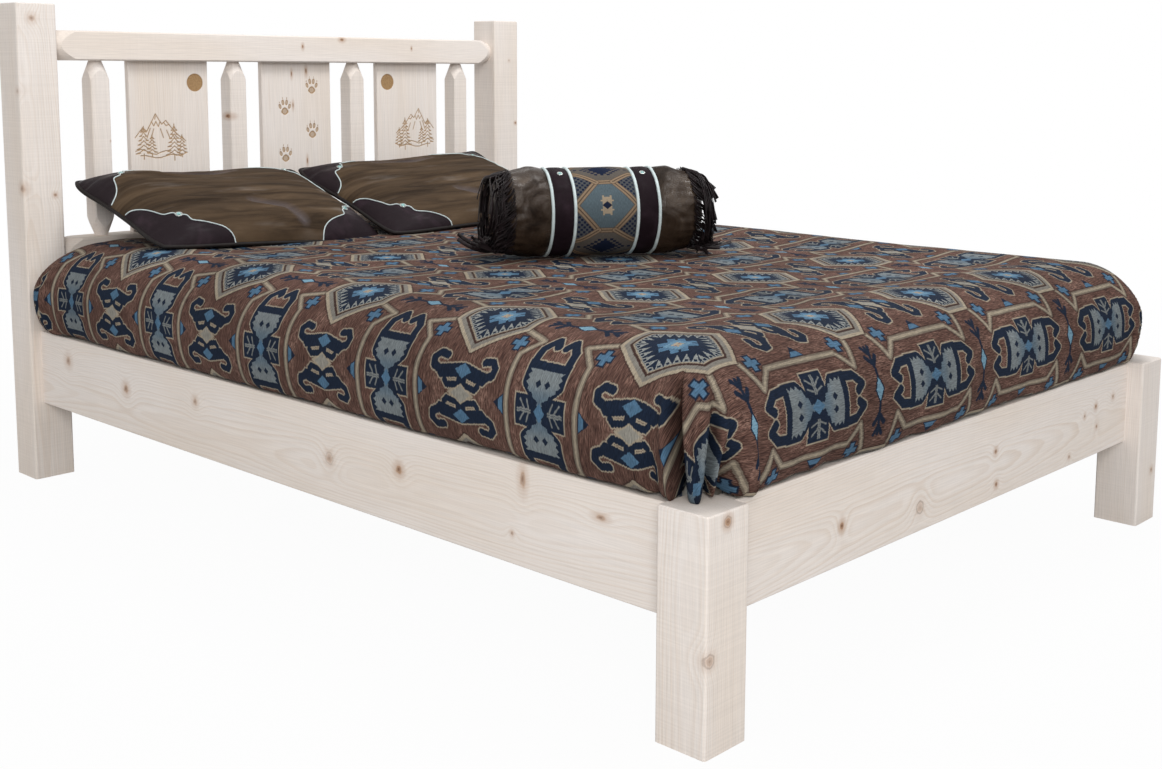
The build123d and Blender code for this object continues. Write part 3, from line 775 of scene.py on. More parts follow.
def kilimCloth(settings):
    material = newMaterial("kilimWeave")
    flat = uvPlace("cloth")
    wobble = newNode("ShaderNodeTexNoise", Vector=flat, Scale=7.0, Detail=2.0)
    shift = vectorCalc("SUBTRACT", wobble.outputs["Color"], (0.5, 0.5, 0.5))
    shift = vectorCalc("SCALE", shift, 0.007)
    u, v, _ = split(vectorCalc("ADD", flat, shift))
    # each thread begins and ends its colour a little off its neighbours
    ragged = cloud(flat, 1.0, detail=1.0, size=(24.0, 330.0, 1.0))
    u = (ragged - 0.5) * 0.0055 + u
    # one lattice of medallions, mirrored about every column and row
    column, across = settings["columns"]
    row, down = settings["rows"]
    a = folded(u, across, column)
    b = folded(v, down, row)
    p = across / 2 - a
    q = down / 2 - b
    line = settings["line"]

    # weft threads run across the bed
    thread = cloud(flat, 1.0, detail=2.0, size=(46.0, 760.0, 1.0))
    fleck = cloud(flat, 1.0, detail=2.0, rough=0.7, size=(95.0, 480.0, 1.0))
    pile = cloud(flat, 1.0, detail=3.0, rough=0.6, size=(13.0, 34.0, 1.0))
    worn = cloud(flat, 3.4, detail=3.0)
    tone = blendColour(span(thread, 0.3, 0.72), settings["groundDark"], settings["ground"])
    light = span(pile, 0.42, 0.72) * span(fleck, 0.42, 0.62)
    tone = blendColour(light * 0.85, tone, settings["groundLight"])

    def paint(mask, colour, base, amount=1.0):
        return blendColour(mask * amount, base, settings[colour])

    # bands between the figures
    reach = strokes(combine(a, b), bandRun, 0.0062)
    for edge, colour, amount in ((0.003, "groundDark", 0.7), (0.0, "tan", 1.0), (-0.0034, "beige", 0.85)):
        tone = paint(inside(reach, edge), colour, tone, amount)

    # hooked pair between two medallions of a row
    reach = figure(combine(b, p), hooked)
    heart = diamond(b, p, 0.019, lean=0.68) * 0.8
    tone = paint(inside(smaller(reach, heart), line), "beige", tone)
    tone = paint(inside(reach), "navy", tone)
    tone = paint(inside(heart), "beige", tone)
    tone = paint(inside(heart, -line), "grey", tone, 0.6)
    tone = paint(inside(diamond(b, p - 0.042, 0.014, lean=0.7)), "blue", tone)

    # horned figure where four tiles meet: a waisted vase with wings at its waist and horns at its ends
    wide = span(p, 0.008, 0.048, 0.014, 0.05)
    vase = larger(q - wide, p - 0.088)
    wings = larger(p - 0.027, q - 0.06)
    reach = smaller(vase, wings, figure(combine(q, p), horns))
    tone = paint(inside(reach, line), "beige", tone)
    tone = paint(inside(reach), "navy", tone)
    zigzag = pingpong(p, 0.006) * 1.1
    bowl = larger(q + zigzag - (wide - 0.008), p - 0.072)
    tone = paint(inside(bowl), "smoke", tone)
    tone = paint(inside(bowl) * span(p, 0.02, 0.055), "grey", tone, 0.6)
    spot = diamond(q - 0.011, p - 0.048, 0.0075)
    tone = paint(inside(spot), "navy", tone)
    tone = paint(inside(figure(combine(q, p), branches)), "grey", tone, 0.8)
    tone = paint(inside(diamond(q, p, 0.017, lean=1.3)), "blue", tone)

    # sprig between two medallions of a column
    reach = figure(combine(a, q), leaves)
    bead = diamond(a, q, 0.028, lean=2.0)
    tone = paint(inside(smaller(reach, bead * 0.5)), "navy", tone)
    tone = paint(inside(bead, -0.007), "sky", tone)

    # a cross and a small flame on each side of every corner
    reach = plus(a - 0.067, b - 0.1, 0.0155, 0.0052)
    tone = paint(inside(reach, 0.0035), "navy", tone)
    tone = paint(inside(reach), "blue", tone)
    fromBand = 0.11 - b
    flame = larger(fromBand * 0.78 + (p - 0.0195), fromBand * -1.0)
    tone = paint(inside(flame), "navy", tone)
    tone = paint(inside(flame, -0.002) * (fromBand < 0.0125), "blue", tone)

    # medallion: a six-sided frame, a ring of spikes and a stepped flower
    slant = a * 0.794 + b * 0.608 - 0.085
    level = b - 0.094
    edge = larger(slant, level)
    for limit, colour, amount in ((0.003, "groundDark", 0.8), (0.0, "beige", 1.0), (-0.007, "tan", 1.0),
                                  (-0.007, "grey", 0.4), (-0.015, "groundDark", 1.0),
                                  (-0.020, "beige", 0.9), (-0.0225, "navy", 1.0)):
        tone = paint(inside(edge, limit), colour, tone, amount)
    slanted = slant > level
    onSlant = b * 0.794 - a * 0.608
    ticks = onSlant * slanted + a * (1.0 - slanted)
    tooth = pingpong(ticks, 0.0075) * (1.0 / 0.0075)
    left = span(edge, -0.045, -0.0225, 0.0, 0.92, smooth=False)
    spikes = (tooth < left) * (edge < -0.0228)
    tone = paint(spikes, "grey", tone)
    hooks = (tooth < 0.38) * near(edge, -0.027, 0.0026)
    tone = paint(hooks, "navy", tone)
    step = 0.0042
    r1 = round((a + b) * (0.7071 / step))
    r2 = round(abs(a - b) * (0.7071 / step))
    arms = (larger(r1, r2) < 7.5) * (smaller(r1, r2) < 3.5)
    notch = (larger(r1, r2) > 5.5) * (smaller(r1, r2) < 0.5)
    arms = arms * (1.0 - notch)
    tone = paint(arms, "blue", tone)
    total = r1 + r2
    tone = paint(arms * (total < 5.5), "sky", tone, 0.5)
    tone = paint(total < 2.5, "beige", tone)
    dot = near(a, 0.005, 0.0022) * (b < 0.0022)
    tone = paint(dot, "groundLight", tone)

    # threads show through every colour
    shade = span(thread, 0.25, 0.75, 0.66, 1.22, smooth=False) * span(worn, 0.3, 0.7, 0.86, 1.12)
    tone = shaded(tone, shade * span(fleck, 0.28, 0.72, 0.66, 1.3, smooth=False))
    fuzz = cloud(flat, 1.0, detail=1.0, size=(240.0, 900.0, 1.0))
    surface(tone, 0.85, thread * 0.8 + fuzz * 0.4, bump=(0.55, 0.0012), Specular_IOR_Level=0.09)
    return material


bedspread.data.materials.append(kilimCloth(clothSettings))
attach(bedspread, "root")
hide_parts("bedspread")
print("the bedspread is laid")

# leather

leatherSettings = {
    "suede": (0.080, 0.052, 0.031), "suedeDark": (0.025, 0.016, 0.010),
    "suedeLight": (0.165, 0.114, 0.071),
    # eggplantSheen is a painted sheen: the lighter purple that stands in for highlights on the dark leather
    "eggplant": (0.013, 0.0075, 0.010), "eggplantSheen": (0.038, 0.023, 0.031),
    "piping": (0.52, 0.60, 0.60), "welt": (0.007, 0.005, 0.0045),
}


def creased(place, scale=1.0):
    # fine leather grain over soft folds
    grain = newNode("ShaderNodeTexVoronoi", Vector=place, Scale=520.0 * scale)
    grain.feature = "DISTANCE_TO_EDGE"
    cells = span(grain.outputs["Distance"], 0.0, 0.12)
    folds = cloud(place, 26.0 * scale, detail=4.0, rough=0.6, twist=0.6)
    return cells * 0.16 + folds


def suedeColour(place, settings, stretch):
    # rubbed streaks run along the stretch
    streak = cloud(place, 1.0, detail=5.0, rough=0.62, twist=0.5, size=stretch)
    blotch = cloud(place, 7.0, detail=3.0)
    tone = blendColour(span(streak, 0.3, 0.62), settings["suedeDark"], settings["suede"])
    rubbed = span(streak, 0.5, 0.78) * span(blotch, 0.35, 0.65)
    return blendColour(rubbed * 0.8, tone, settings["suedeLight"]), streak


def eggplantColour(place, settings):
    # the lighter mottle on the dark purple leather is painted sheen, a highlight painted into the colour
    # rather than a lamp's reflection
    paintedSheen = cloud(place, 11.0, detail=4.0, rough=0.6, twist=0.8)
    return blendColour(span(paintedSheen, 0.48, 0.78) * 0.75, settings["eggplant"], settings["eggplantSheen"])


def plainLeather(name, colour, roughness=0.45, light=None):
    material = newMaterial(name)
    place = objectPlace()
    tint = cloud(place, 60.0, detail=2.0)
    tone = blendColour(span(tint, 0.35, 0.7), colour, light or tuple(1.6 * c for c in colour))
    surface(tone, roughness, creased(place, 1.6), bump=(0.25, 0.0006), Specular_IOR_Level=0.2)
    return material


pillowSettings = {
    "size": (0.650, 0.462, 0.150),
    "cell": 0.0085,
    "pressure": 2.4, "frames": 18, "reach": 0.055, "folds": 0.35,
    "upper": (0.048, 4.0, 0.50), "lower": (0.075, 2.0, 1.50),  # crown, fullness and edge of the two sides
    "blunt": 0.055, "sag": 0.013,
    "creases": (0.0036, 0.0015, 0.0055),   # across the leather, fine ones, and the stuffing's own lumps
    "rubbed": (0.0065, 0.012),             # depth and half width of a worn fold
    # a patch's line in radians from the nearer side, and the small peak beside its cusp
    "patchEdge": 0.200, "patchCusp": 0.122, "patchTurns": (0.0, 0.55), "patchPeak": (0.66, 0.09, 0.006),
    "rubs": (((-0.10, 0.165), (0.02, 0.150), (0.09, 0.170)),
             ((0.00, -0.085), (0.07, -0.130), (0.085, -0.185))),
    "conchoCorner": (0.0878, 0.0878), "conchoSink": 0.0004,  # from the corner, and into the leather
    "pipe": 0.0015, "welt": 0.0050,
}
pillowPlaces = {
    # ears are turned up corners: which one, how long and how high; droop lowers the seam's corners,
    # (back left, back right) and (front left, front right); slump is the whole pillow's stretch, skew,
    # shift, roll and drop
    "pillow_left": {"turn": -3.4, "tilt": 17.3, "seed": 3.0, "slump": (1.0, 0.055, 0.0, -0.020, -0.004),
                    "droop": ((0.022, 0.008), (0.012, 0.036)),
                    "ears": ((-1, 1, 0.080, 0.008), (1, 1, 0.090, 0.014))},
    "pillow_right": {"turn": -1.0, "tilt": 19.7, "seed": 11.0,
                     "slump": (1.03, 0.040, -0.024, 0.030, -0.010),
                     "droop": ((0.008, 0.004), (0.000, 0.010)),
                     "ears": ((-1, 1, 0.090, 0.010), (1, 1, 0.100, 0.018))},
}


def patchReach(settings, turn):
    # how far a corner patch runs from its corner, in the direction turn
    turn = min(turn, pi / 2 - turn)
    share = ease(turn, *settings["patchTurns"])
    at, wide, high = settings["patchPeak"]
    return (settings["patchEdge"] + (settings["patchCusp"] - settings["patchEdge"]) * share
            + high * exp(-((turn - at) / wide) ** 2))


def pillowLeather(settings, leather):
    material = newMaterial("pillowLeather")
    flat, place = uvPlace("cover"), objectPlace()
    x, y, _ = split(flat)
    a = settings["size"][0] / 2 - abs(x)
    b = settings["size"][1] / 2 - abs(y)
    reach = length(combine(a, b))
    turn = calc("ARCTAN2", larger(b, 0.0), larger(a, 0.0001))
    turn = smaller(turn, pi / 2 - turn)
    limit = span(turn, *settings["patchTurns"], settings["patchEdge"], settings["patchCusp"])
    at, wide, high = settings["patchPeak"]
    off = (turn - at) / wide
    limit = limit + calc("EXPONENT", off * off * -1.0) * high
    patch = span(reach - limit, -0.0008, 0.0008, 1.0, 0.0)
    suede, streak = suedeColour(flat, leather, (3.0, 26.0, 1.0))
    tone = blendColour(patch, suede, eggplantColour(place, leather))
    polished = span(cloud(flat, 1.0, detail=3.0, size=(5.0, 17.0, 1.0)), 0.55, 0.75)
    for points in settings["rubs"]:
        rubbed = inside(strokes(flat, points, 0.01), 0.0, 0.012)
        polished = larger(polished, rubbed)
        # the rubbed folds are worn leather, polished in the roughness and specular, and also painted
        # lighter with the sheen colour as a painted highlight
        tone = blendColour(rubbed * 0.6, tone, leather["eggplantSheen"])
    surface(tone, 0.68 - polished * 0.28 - patch * 0.14, streak * 0.5 + creased(place), bump=(0.45, 0.0022),
            Specular_IOR_Level=0.06 + polished * 0.38 + patch * 0.03)
    return material


def simulateCloth(cloth, pressure, frames, reach):
    # blown up like a stuffed cover, no point moving further than reach
    start = [vertex.co.copy() for vertex in cloth.data.vertices]
    modifier = cloth.modifiers.new("cover", "CLOTH")
    modifier.settings.quality = 7
    modifier.settings.mass = 0.35
    modifier.settings.tension_stiffness = 14.0
    modifier.settings.compression_stiffness = 14.0
    modifier.settings.shear_stiffness = 6.0
    modifier.settings.bending_stiffness = 0.35
    modifier.settings.use_pressure = True
    modifier.settings.uniform_pressure_force = pressure
    modifier.settings.effector_weights.gravity = 0.0
    modifier.point_cache.frame_start = 1
    modifier.point_cache.frame_end = frames
    for number in range(1, frames + 1):
        bpy.context.scene.frame_set(number)
    applied(cloth, "cover")
    bpy.context.scene.frame_set(1)
    for vertex, place in zip(cloth.data.vertices, start):
        moved = vertex.co - place
        if moved.length > reach:
            vertex.co = place + moved.normalized() * reach


def smoothShape(piece):
    finer = piece.modifiers.new("finer", "SUBSURF")
    finer.levels = 1
    applied(piece, "finer")
    smoothFaces(piece)


def coverBlank(name, settings, seed):
    # two sheets of leather sewn together at their rims
    width, depth, _ = settings["size"]
    nx, ny = round(width / settings["cell"]), round(depth / settings["cell"])
    halves = []
    for side in (1, -1):
        half = newGrid(name, nx, ny)
        seam = half.data.attributes.new("seam", "FLOAT", "POINT")
        face = half.data.attributes.new("face", "FLOAT", "POINT")
        for vertex in half.data.vertices:
            x, y = vertex.co.x, vertex.co.y
            crown = max(0.0, 1 - abs(x) ** 2.4) ** 0.7 * max(0.0, 1 - abs(y) ** 2.4) ** 0.7
            rumple = (0.010 * wave(x * 3.1 + seed, y * 2.6, side * 5.0)
                      + 0.006 * wave(x * 8.0, y * 7.0 + seed, side))
            dent = crown ** 0.5 * rumple
            # the corners stand out a little with blunt tips, and the long sides pull in
            grown = 1 + 0.045 * (abs(x) * abs(y)) ** 2
            bluntX, bluntY = (1 - settings["blunt"] * abs(other) ** 9 for other in (y, x))
            vertex.co = (x * width / 2 * grown * bluntX, y * depth / 2 * grown * bluntY,
                         side * (0.030 * crown + 0.0004) + dent)
            face.data[vertex.index].value = side
            if max(abs(x), abs(y)) > 0.9999:
                vertex.co.z = 0.0
                seam.data[vertex.index].value = 1.0
        if side < 0:
            bpy.ops.object.mode_set(mode="EDIT")
            bpy.ops.mesh.select_all(action="SELECT")
            bpy.ops.mesh.flip_normals()
            bpy.ops.object.mode_set(mode="OBJECT")
        halves.append(half)
    cover = joined(name, halves)
    weld(cover, 0.0002, outward=False)
    return cover


def cordAlong(name, points, radius, material, closed=False):
    # a round cord swept along the points
    data = bpy.data.curves.new(name, "CURVE")
    data.dimensions = "3D"
    data.bevel_depth = radius
    data.bevel_resolution = 3
    data.use_fill_caps = not closed
    line = data.splines.new("POLY")
    line.points.add(len(points) - 1)
    for point, place in zip(line.points, points):
        point.co = (*place, 1.0)
    line.use_cyclic_u = closed
    cord = meshOf(name, data, material)
    smoothFaces(cord)
    return cord


def joined(name, parts):
    bpy.ops.object.select_all(action="DESELECT")
    for part in parts:
        part.select_set(True)
    bpy.context.view_layer.objects.active = parts[0]
    bpy.ops.object.join()
    whole = bpy.context.object
    whole.name = name
    whole.select_set(False)
    return whole


def metalFinish():
    material = newMaterial("agedSilver")
    place = objectPlace()
    tarnish = cloud(place, 320.0, detail=3.0)
    tone = blendColour(span(tarnish, 0.35, 0.7), (0.62, 0.64, 0.62), (0.2, 0.22, 0.21))
    surface(tone, span(tarnish, 0.3, 0.7, 0.22, 0.5), tarnish, bump=(0.2, 0.0003), Metallic=1.0)
    return material


def stoneFinish():
    material = newMaterial("turquoiseStone")
    place = objectPlace()
    vein = cloud(place, 260.0, detail=4.0, twist=1.0)
    tone = blendColour(span(vein, 0.5, 0.62), (0.3, 0.56, 0.55), (0.1, 0.2, 0.19))
    surface(tone, 0.28, vein, bump=(0.1, 0.0002))
    return material


conchoSettings = {"radius": 0.0090, "thick": 0.0022, "beads": 14, "bead": 0.0011, "stone": 0.0052}
agedSilver = metalFinish()
turquoise = stoneFinish()


def makeConcho(settings):
    bpy.ops.object.select_all(action="DESELECT")
    bpy.ops.mesh.primitive_cylinder_add(vertices=28, radius=settings["radius"], depth=settings["thick"],
                                        location=(0, 0, settings["thick"] / 2))
    plate = bpy.context.object
    bpy.ops.object.mode_set(mode="EDIT")
    bpy.ops.mesh.select_all(action="DESELECT")
    bpy.ops.object.mode_set(mode="OBJECT")
    for polygon in plate.data.polygons:
        polygon.select = polygon.normal.z > 0.9
    bpy.ops.object.mode_set(mode="EDIT")
    bpy.ops.mesh.inset(thickness=settings["radius"] * 0.18, depth=0.0007)
    bpy.ops.mesh.inset(thickness=settings["radius"] * 0.22, depth=-0.0006)
    bpy.ops.object.mode_set(mode="OBJECT")
    parts = [plate]
    for number in range(settings["beads"]):
        turn = 2 * pi * number / settings["beads"]
        reach = settings["radius"] * 0.90
        place = (reach * cos(turn), reach * sin(turn), settings["thick"])
        bpy.ops.mesh.primitive_ico_sphere_add(subdivisions=1, radius=settings["bead"], location=place)
        parts.append(bpy.context.object)
    for part in parts:
        part.data.materials.append(agedSilver)
    bpy.ops.mesh.primitive_uv_sphere_add(segments=18, ring_count=10, radius=settings["stone"],
                                         location=(0, 0, settings["thick"]))
    stone = bpy.context.object
    stone.scale.z = 0.55
    stone.data.materials.append(turquoise)
    parts.append(stone)
    bpy.ops.object.select_all(action="DESELECT")
    for part in parts:
        part.select_set(True)
    bpy.ops.object.transform_apply(location=True, rotation=True, scale=True)
    whole = joined("conchoMaster", parts)
    smoothFaces(whole)
    return whole


def conchosAt(name, master, seats, size=1.0):
    # seats are (place, outward direction)
    copies = []
    for place, outward in seats:
        copy = bpy.data.objects.new(name, master.data.copy())
        bpy.context.scene.collection.objects.link(copy)
        turn = outward.to_track_quat("Z", "Y").to_matrix().to_4x4()
        copy.data.transform(Matrix.Translation(place) @ turn @ Matrix.Scale(size, 4))
        copies.append(copy)
    return joined(name, copies)


def makePillow(name, settings, place, materials):
    cover = coverBlank(name + "Cover", settings, place["seed"])
    width, depth, thick = settings["size"]
    flat = [vertex.co.copy() for vertex in cover.data.vertices]
    simulateCloth(cover, settings["pressure"], settings["frames"], settings["reach"])
    # the stuffing has settled into a soft lens, which keeps some of the simulated folds away from the seam
    face = cover.data.attributes["face"].data
    side = max(spot.x for spot in flat) * 2 / width, max(spot.y for spot in flat) * 2 / depth
    for vertex, spot in zip(cover.data.vertices, flat):
        across, along = min(1.0, abs(spot.x) * 2 / width), min(1.0, abs(spot.y) * 2 / depth)
        upper = face[vertex.index].value > 0
        crown, fullness, edge = settings["upper" if upper else "lower"]
        lens = crown * ((1 - across ** fullness) * (1 - along ** fullness)) ** edge * (1 if upper else -1)
        share = settings["folds"] * ease(1 - max(across, along), 0.0, 0.4)
        vertex.co = (spot.x / side[0] + 0.5 * share * (vertex.co.x - spot.x),
                     spot.y / side[1] + 0.5 * share * (vertex.co.y - spot.y),
                     lens * (1 - share) + share * min(crown, abs(vertex.co.z)) * (1 if upper else -1))
    smoothShape(cover)
    seed = place["seed"]
    broad, fine, lumps = settings["creases"]
    deep, wide = settings["rubbed"]
    for vertex in cover.data.vertices:
        x, y, z = vertex.co
        inner = ease(1 - max(abs(x) / width, abs(y) / depth) * 2, 0.0, 0.16)
        crease = broad * wave(x * 5 + seed, y * 17, z * 4) + fine * wave(x * 18, y * 40 + seed, z * 9)
        lump = lumps * wave(x * 3.4 + seed, y * 4.6, 0.5)
        vertex.co.z += inner * (crease * (1 if z > 0 else -1) + lump)
        if z > 0:
            for points in settings["rubs"]:
                vertex.co.z -= deep * exp(-(lineReach(x, y, points) / wide) ** 2)
            vertex.co.z -= settings["sag"] * exp(-(x / 0.20) ** 2 - ((y - 0.15) / 0.08) ** 2)
        behind, ahead = (left + (right - left) * (x / width + 0.5) for left, right in place["droop"])
        drop = ahead + (behind - ahead) * (y / depth + 0.5)
        vertex.co.z -= drop * (1 - ease(abs(z), 0.0, thick * 0.4))
    writeUv(cover.data, "cover", [vertex.co.xy for vertex in cover.data.vertices])
    tree = rayTree(cover)

    def onCover(face, sx, sy, inX, inY):
        # point and direction of the cover, by the distance from a corner
        spot = Vector((sx * (width / 2 - inX), sy * (depth / 2 - inY), face))
        return tree.ray_cast(spot, Vector((0, 0, -face)))[:2]

    for vertex in cover.data.vertices:
        x, y, z = vertex.co
        for sx, sy, long, rise in place["ears"]:
            inward = (width / 2 - sx * x + depth / 2 - sy * y) * 0.7071  # from the tip along the diagonal
            bent = max(0.0, 1 - inward / long) ** 2
            vertex.co += Vector((-0.45 * sx, -0.45 * sy, 1.0)) * rise * bent
    cover.data.materials.clear()
    cover.data.materials.append(materials["cover"])
    low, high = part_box(name)
    stretch, skew, shift, roll, fall = place["slump"]
    seat = (Matrix.Translation((low + high) / 2) @ Matrix.Rotation(radians(place["turn"]), 4, "Z")
            @ Matrix.Rotation(radians(place["tilt"]), 4, "X"))
    seat = seat @ Matrix(((stretch, -skew, 0, shift), (0, 1, 0, 0), (roll, 0, 1, fall), (0, 0, 0, 1)))
    # piping along the corner patches, top and bottom, and a concho at each cusp of the top
    pipes, seats = [], []
    for corner in product((1, -1), (-1, 1), (-1, 1)):
        line = []
        for step in range(49):
            turn = pi / 2 * step / 48
            reach = patchReach(settings, turn)
            hit, outward = onCover(*corner, reach * cos(turn), reach * sin(turn))
            if hit is not None:
                line.append(hit + outward * settings["pipe"] * 0.5)
        pipes.append(cordAlong("pipe", line, settings["pipe"], materials["piping"]))
        if corner[0] > 0:
            hit, outward = onCover(*corner, *settings["conchoCorner"])
            seats.append((hit - outward * settings["conchoSink"], outward))
    # dark welt in the seam
    seam = cover.data.attributes["seam"].data
    rim = [vertex.co.copy() for vertex in cover.data.vertices if seam[vertex.index].value > 0.99]
    rim.sort(key=lambda spot: atan2(spot.y / depth, spot.x / width))
    welt = cordAlong("welt", rim[::2], settings["welt"], materials["welt"], closed=True)
    trim = joined(name + "Piping", pipes)
    conchos = conchosAt(name + "Conchos", materials["concho"], seats)
    welt.name = name + "Welt"
    seated(((cover, name, "brown_suede"), (trim, None, "white_piping"), (welt, None, "dark_leather"),
            (conchos, name + "_conchos", "concho_metal")), seat)


conchoMaster = makeConcho(conchoSettings)
pillowMaterials = {
    "cover": pillowLeather(pillowSettings, leatherSettings),
    "piping": plainLeather("whitePiping", leatherSettings["piping"], 0.5, (0.62, 0.70, 0.70)),
    "welt": plainLeather("darkWelt", leatherSettings["welt"], 0.6),
    "concho": conchoMaster,
}
for name, place in pillowPlaces.items():
    makePillow(name, pillowSettings, place, pillowMaterials)
print("the pillows are stuffed")

bolsterSettings = {
    "radius": 0.1045, "half": 0.226, "dome": 0.030,   # the stuffed ends stand out by the dome
    "turn": -31.0,
    "rings": (-0.128, -0.0756, 0.0756, 0.128), "ringThick": 0.0038,
    "around": 132, "repeat": 0.2200,      # the tapestry repeats three times round the roll
    "tapestryMiddle": 77.0,               # degrees from the top, towards the bed's left, to a hexagon
    "brown": (0.034, 0.021, 0.013), "brownDark": (0.010, 0.006, 0.004), "brownLight": (0.080, 0.054, 0.035),
    "hexagon": (0.088, 0.118, 0.135), "figure": (0.36, 0.28, 0.19),
    "flowerGround": (0.105, 0.092, 0.080), "flower": (0.012, 0.017, 0.038),
    "band": (0.250, 0.180, 0.120), "bandDark": (0.075, 0.050, 0.036), "corner": (0.075, 0.078, 0.082),
    "drawnOut": 1.26,                     # how much longer the tapestry's figures are along the roll
    "conchoAlong": 0.100, "conchoLean": 27.0, "conchoSize": 0.78, "conchoSink": 0.0004,
    "strips": 44, "stripWide": 0.0095, "stripThick": 0.0015, "stripLong": (0.080, 0.165),
    # how each end's strips lie: off the disc, standing away at their tips, and in from the rim
    "brush": {-1: {"loose": 0.034, "flare": 0.014, "inward": 0.018},
              1: {"loose": 0.024, "flare": 0.036, "inward": 0.002}},
    "bed": -0.1030,                       # the bedspread's top below the roll's axis
    "groove": (0.0042, 0.0085),           # depth and half width under a ring of piping
    "gathers": 0.0042, "dents": (0.0050, 0.0024, 0.0016),
}


def bolsterProfile(settings):
    # (along, radius) from the middle of one end disc over the roll to the other
    half, radius = settings["half"], settings["radius"]
    groove, grooveWide = settings["groove"]
    points = [(half + settings["dome"] * sqrt(1 - (reach / 0.084) ** 2), reach)
              for reach in (0.0, 0.020, 0.040, 0.058, 0.070, 0.078)]
    points.append((half + 0.004, 0.0815))
    for i in range(1, 7):
        turn = pi / 2 * i / 6
        points.append((half - 0.016 + 0.018 * cos(turn), 0.080 + 0.018 * sin(turn)))
    steps = 84
    for i in range(1, steps):
        u = (half - 0.018) * (1 - 2 * i / steps)
        full = radius - (radius - 0.098) * ease(abs(u), half - 0.060, half - 0.018)
        for ring in settings["rings"]:
            full -= groove * exp(-((u - ring) / grooveWide) ** 2)
        points.append((u, full))
    return points + [(-u, r) for u, r in reversed(points[:13])]


def rollPlace(u, radius, angle):
    # angle from the top towards the roll's near side
    return Vector((u, -radius * sin(angle), radius * cos(angle)))


def makeRoll(settings):
    profile = bolsterProfile(settings)
    roll = newGrid("bolsterCover", len(profile) - 1, settings["around"])
    flatPlace = []
    middle = radians(settings["tapestryMiddle"])
    large, small, slight = settings["dents"]
    for vertex in roll.data.vertices:
        i = round((vertex.co.x + 1) / 2 * (len(profile) - 1))
        angle = (vertex.co.y + 1) * pi
        u, radius = profile[i]
        flatPlace.append((u, (angle - middle) * settings["repeat"] * 1.5 / pi))
        a, b = cos(angle), sin(angle)
        out = ease(abs(u), 0.130, 0.155) * ease(radius, 0.05, 0.09)
        # gathers run in from the ends, soft dents lie across
        gather = ease(abs(u), 0.155, 0.220) * ease(radius, 0.03, 0.09)
        radius += gather * settings["gathers"] * wave(a * 9.0, b * 9.0, u * 6.0 + 5.0)
        radius += out * large * wave(a * 2.6, b * 2.6, u * 16.0)
        radius += out * small * wave(a * 6.0, b * 6.0, u * 38.0)
        radius += slight * wave(a * 3.0, b * 3.0, u * 22.0 + 2.0) * ease(radius, 0.03, 0.09)
        vertex.co = rollPlace(u, radius, angle)
        vertex.co.z = max(vertex.co.z, settings["bed"])
    writeUv(roll.data, "cover", flatPlace)
    weld(roll, 0.00005)
    smoothFaces(roll)
    roll.select_set(False)
    return roll


def tapestry(u, w, settings):
    # hexagons and flowered cells between tan bands
    folded = pingpong(w, settings["repeat"] / 2)
    thread = cloud(combine(u, w), 1.0, detail=2.0, size=(900.0, 130.0, 1.0))
    u = u / settings["drawnOut"]
    place = combine(u, folded)
    hexagon = larger(folded - 0.06, (u - 0.062) * 0.81 + (folded + 0.003) * 0.59)
    flowered = (u - 0.016) * 0.62 + (folded - 0.06) * -0.79
    tone = blendColour(inside(flowered), settings["corner"], settings["flowerGround"])
    # dotted corners
    dots = calc("SINE", u * 620.0) * calc("SINE", folded * 520.0)
    dotted = span(dots, 0.0, 0.2) * span(flowered, 0.004, 0.008)
    tone = blendColour(dotted, tone, settings["flower"])
    # serrated flower
    step = 0.0060
    fx = abs(round(u / step))
    fy = abs(round((settings["repeat"] / 2 - folded) / step))
    total = fy * 1.5 + fx
    petals = (total < 8.2) * larger((fx + fy) % 2.0 < 0.5, total < 4.6) * inside(flowered, -0.004)
    tone = blendColour(petals, tone, settings["flower"])
    tone = blendColour(inside(hexagon), tone, settings["hexagon"])
    # stepped figure in the hexagon
    step = 0.0036
    fx = abs(round(u / step))
    fy = abs(round(folded / step))
    claw = near(fx, 2.0, 0.1) * (fy < 6.5)
    bar = (fx < 1.5) * (fy < 5.5)
    arm = (fx < 3.5) * near(fy, 3.0, 0.6)
    figure = larger(claw, bar, arm)
    tone = blendColour(figure * 0.85, tone, settings["figure"])
    gem = diamond(u, folded, 0.0095)
    tone = blendColour(inside(gem), tone, settings["flower"])
    for points in (((0.064, -0.006), (0.016, 0.060), (0.0, 0.060)), ((0.016, 0.060), (0.066, 0.099))):
        reach = strokes(place, points, 0.0052)
        tone = blendColour(inside(reach, 0.0012), tone, settings["bandDark"])
        tone = blendColour(inside(reach), tone, settings["band"])
        tone = blendColour(inside(reach, -0.004), tone, settings["bandDark"])
    return shaded(tone, span(thread, 0.25, 0.75, 0.72, 1.2, smooth=False)), thread


def bolsterLeather(settings, leather):
    material = newMaterial("bolsterLeather")
    place = objectPlace()
    along, w, _ = split(uvPlace("cover"))
    u = abs(along)
    cloth, thread = tapestry(u, w, settings)
    rubbed = cloud(place, 13.0, detail=5.0, rough=0.62, twist=0.8)
    tone = blendColour(span(rubbed, 0.3, 0.55), settings["brownDark"], settings["brown"])
    tone = blendColour(span(rubbed, 0.52, 0.74) * 0.85, tone, settings["brownLight"])
    inner, outer = settings["rings"][2:]
    banded = u < outer
    woven = u < inner
    tone = blendColour(banded, tone, eggplantColour(place, leather))
    tone = blendColour(woven, tone, cloth)
    roughness = span(rubbed, 0.35, 0.65, 0.46, 0.25) + banded * 0.14 + woven * 0.36
    gloss = span(rubbed, 0.38, 0.68, 0.03, 0.36) * (1.0 - banded) + 0.04
    height = thread * woven * 0.4 + creased(place)
    surface(tone, roughness, height, bump=(0.5, 0.0018), Specular_IOR_Level=gloss)
    return material


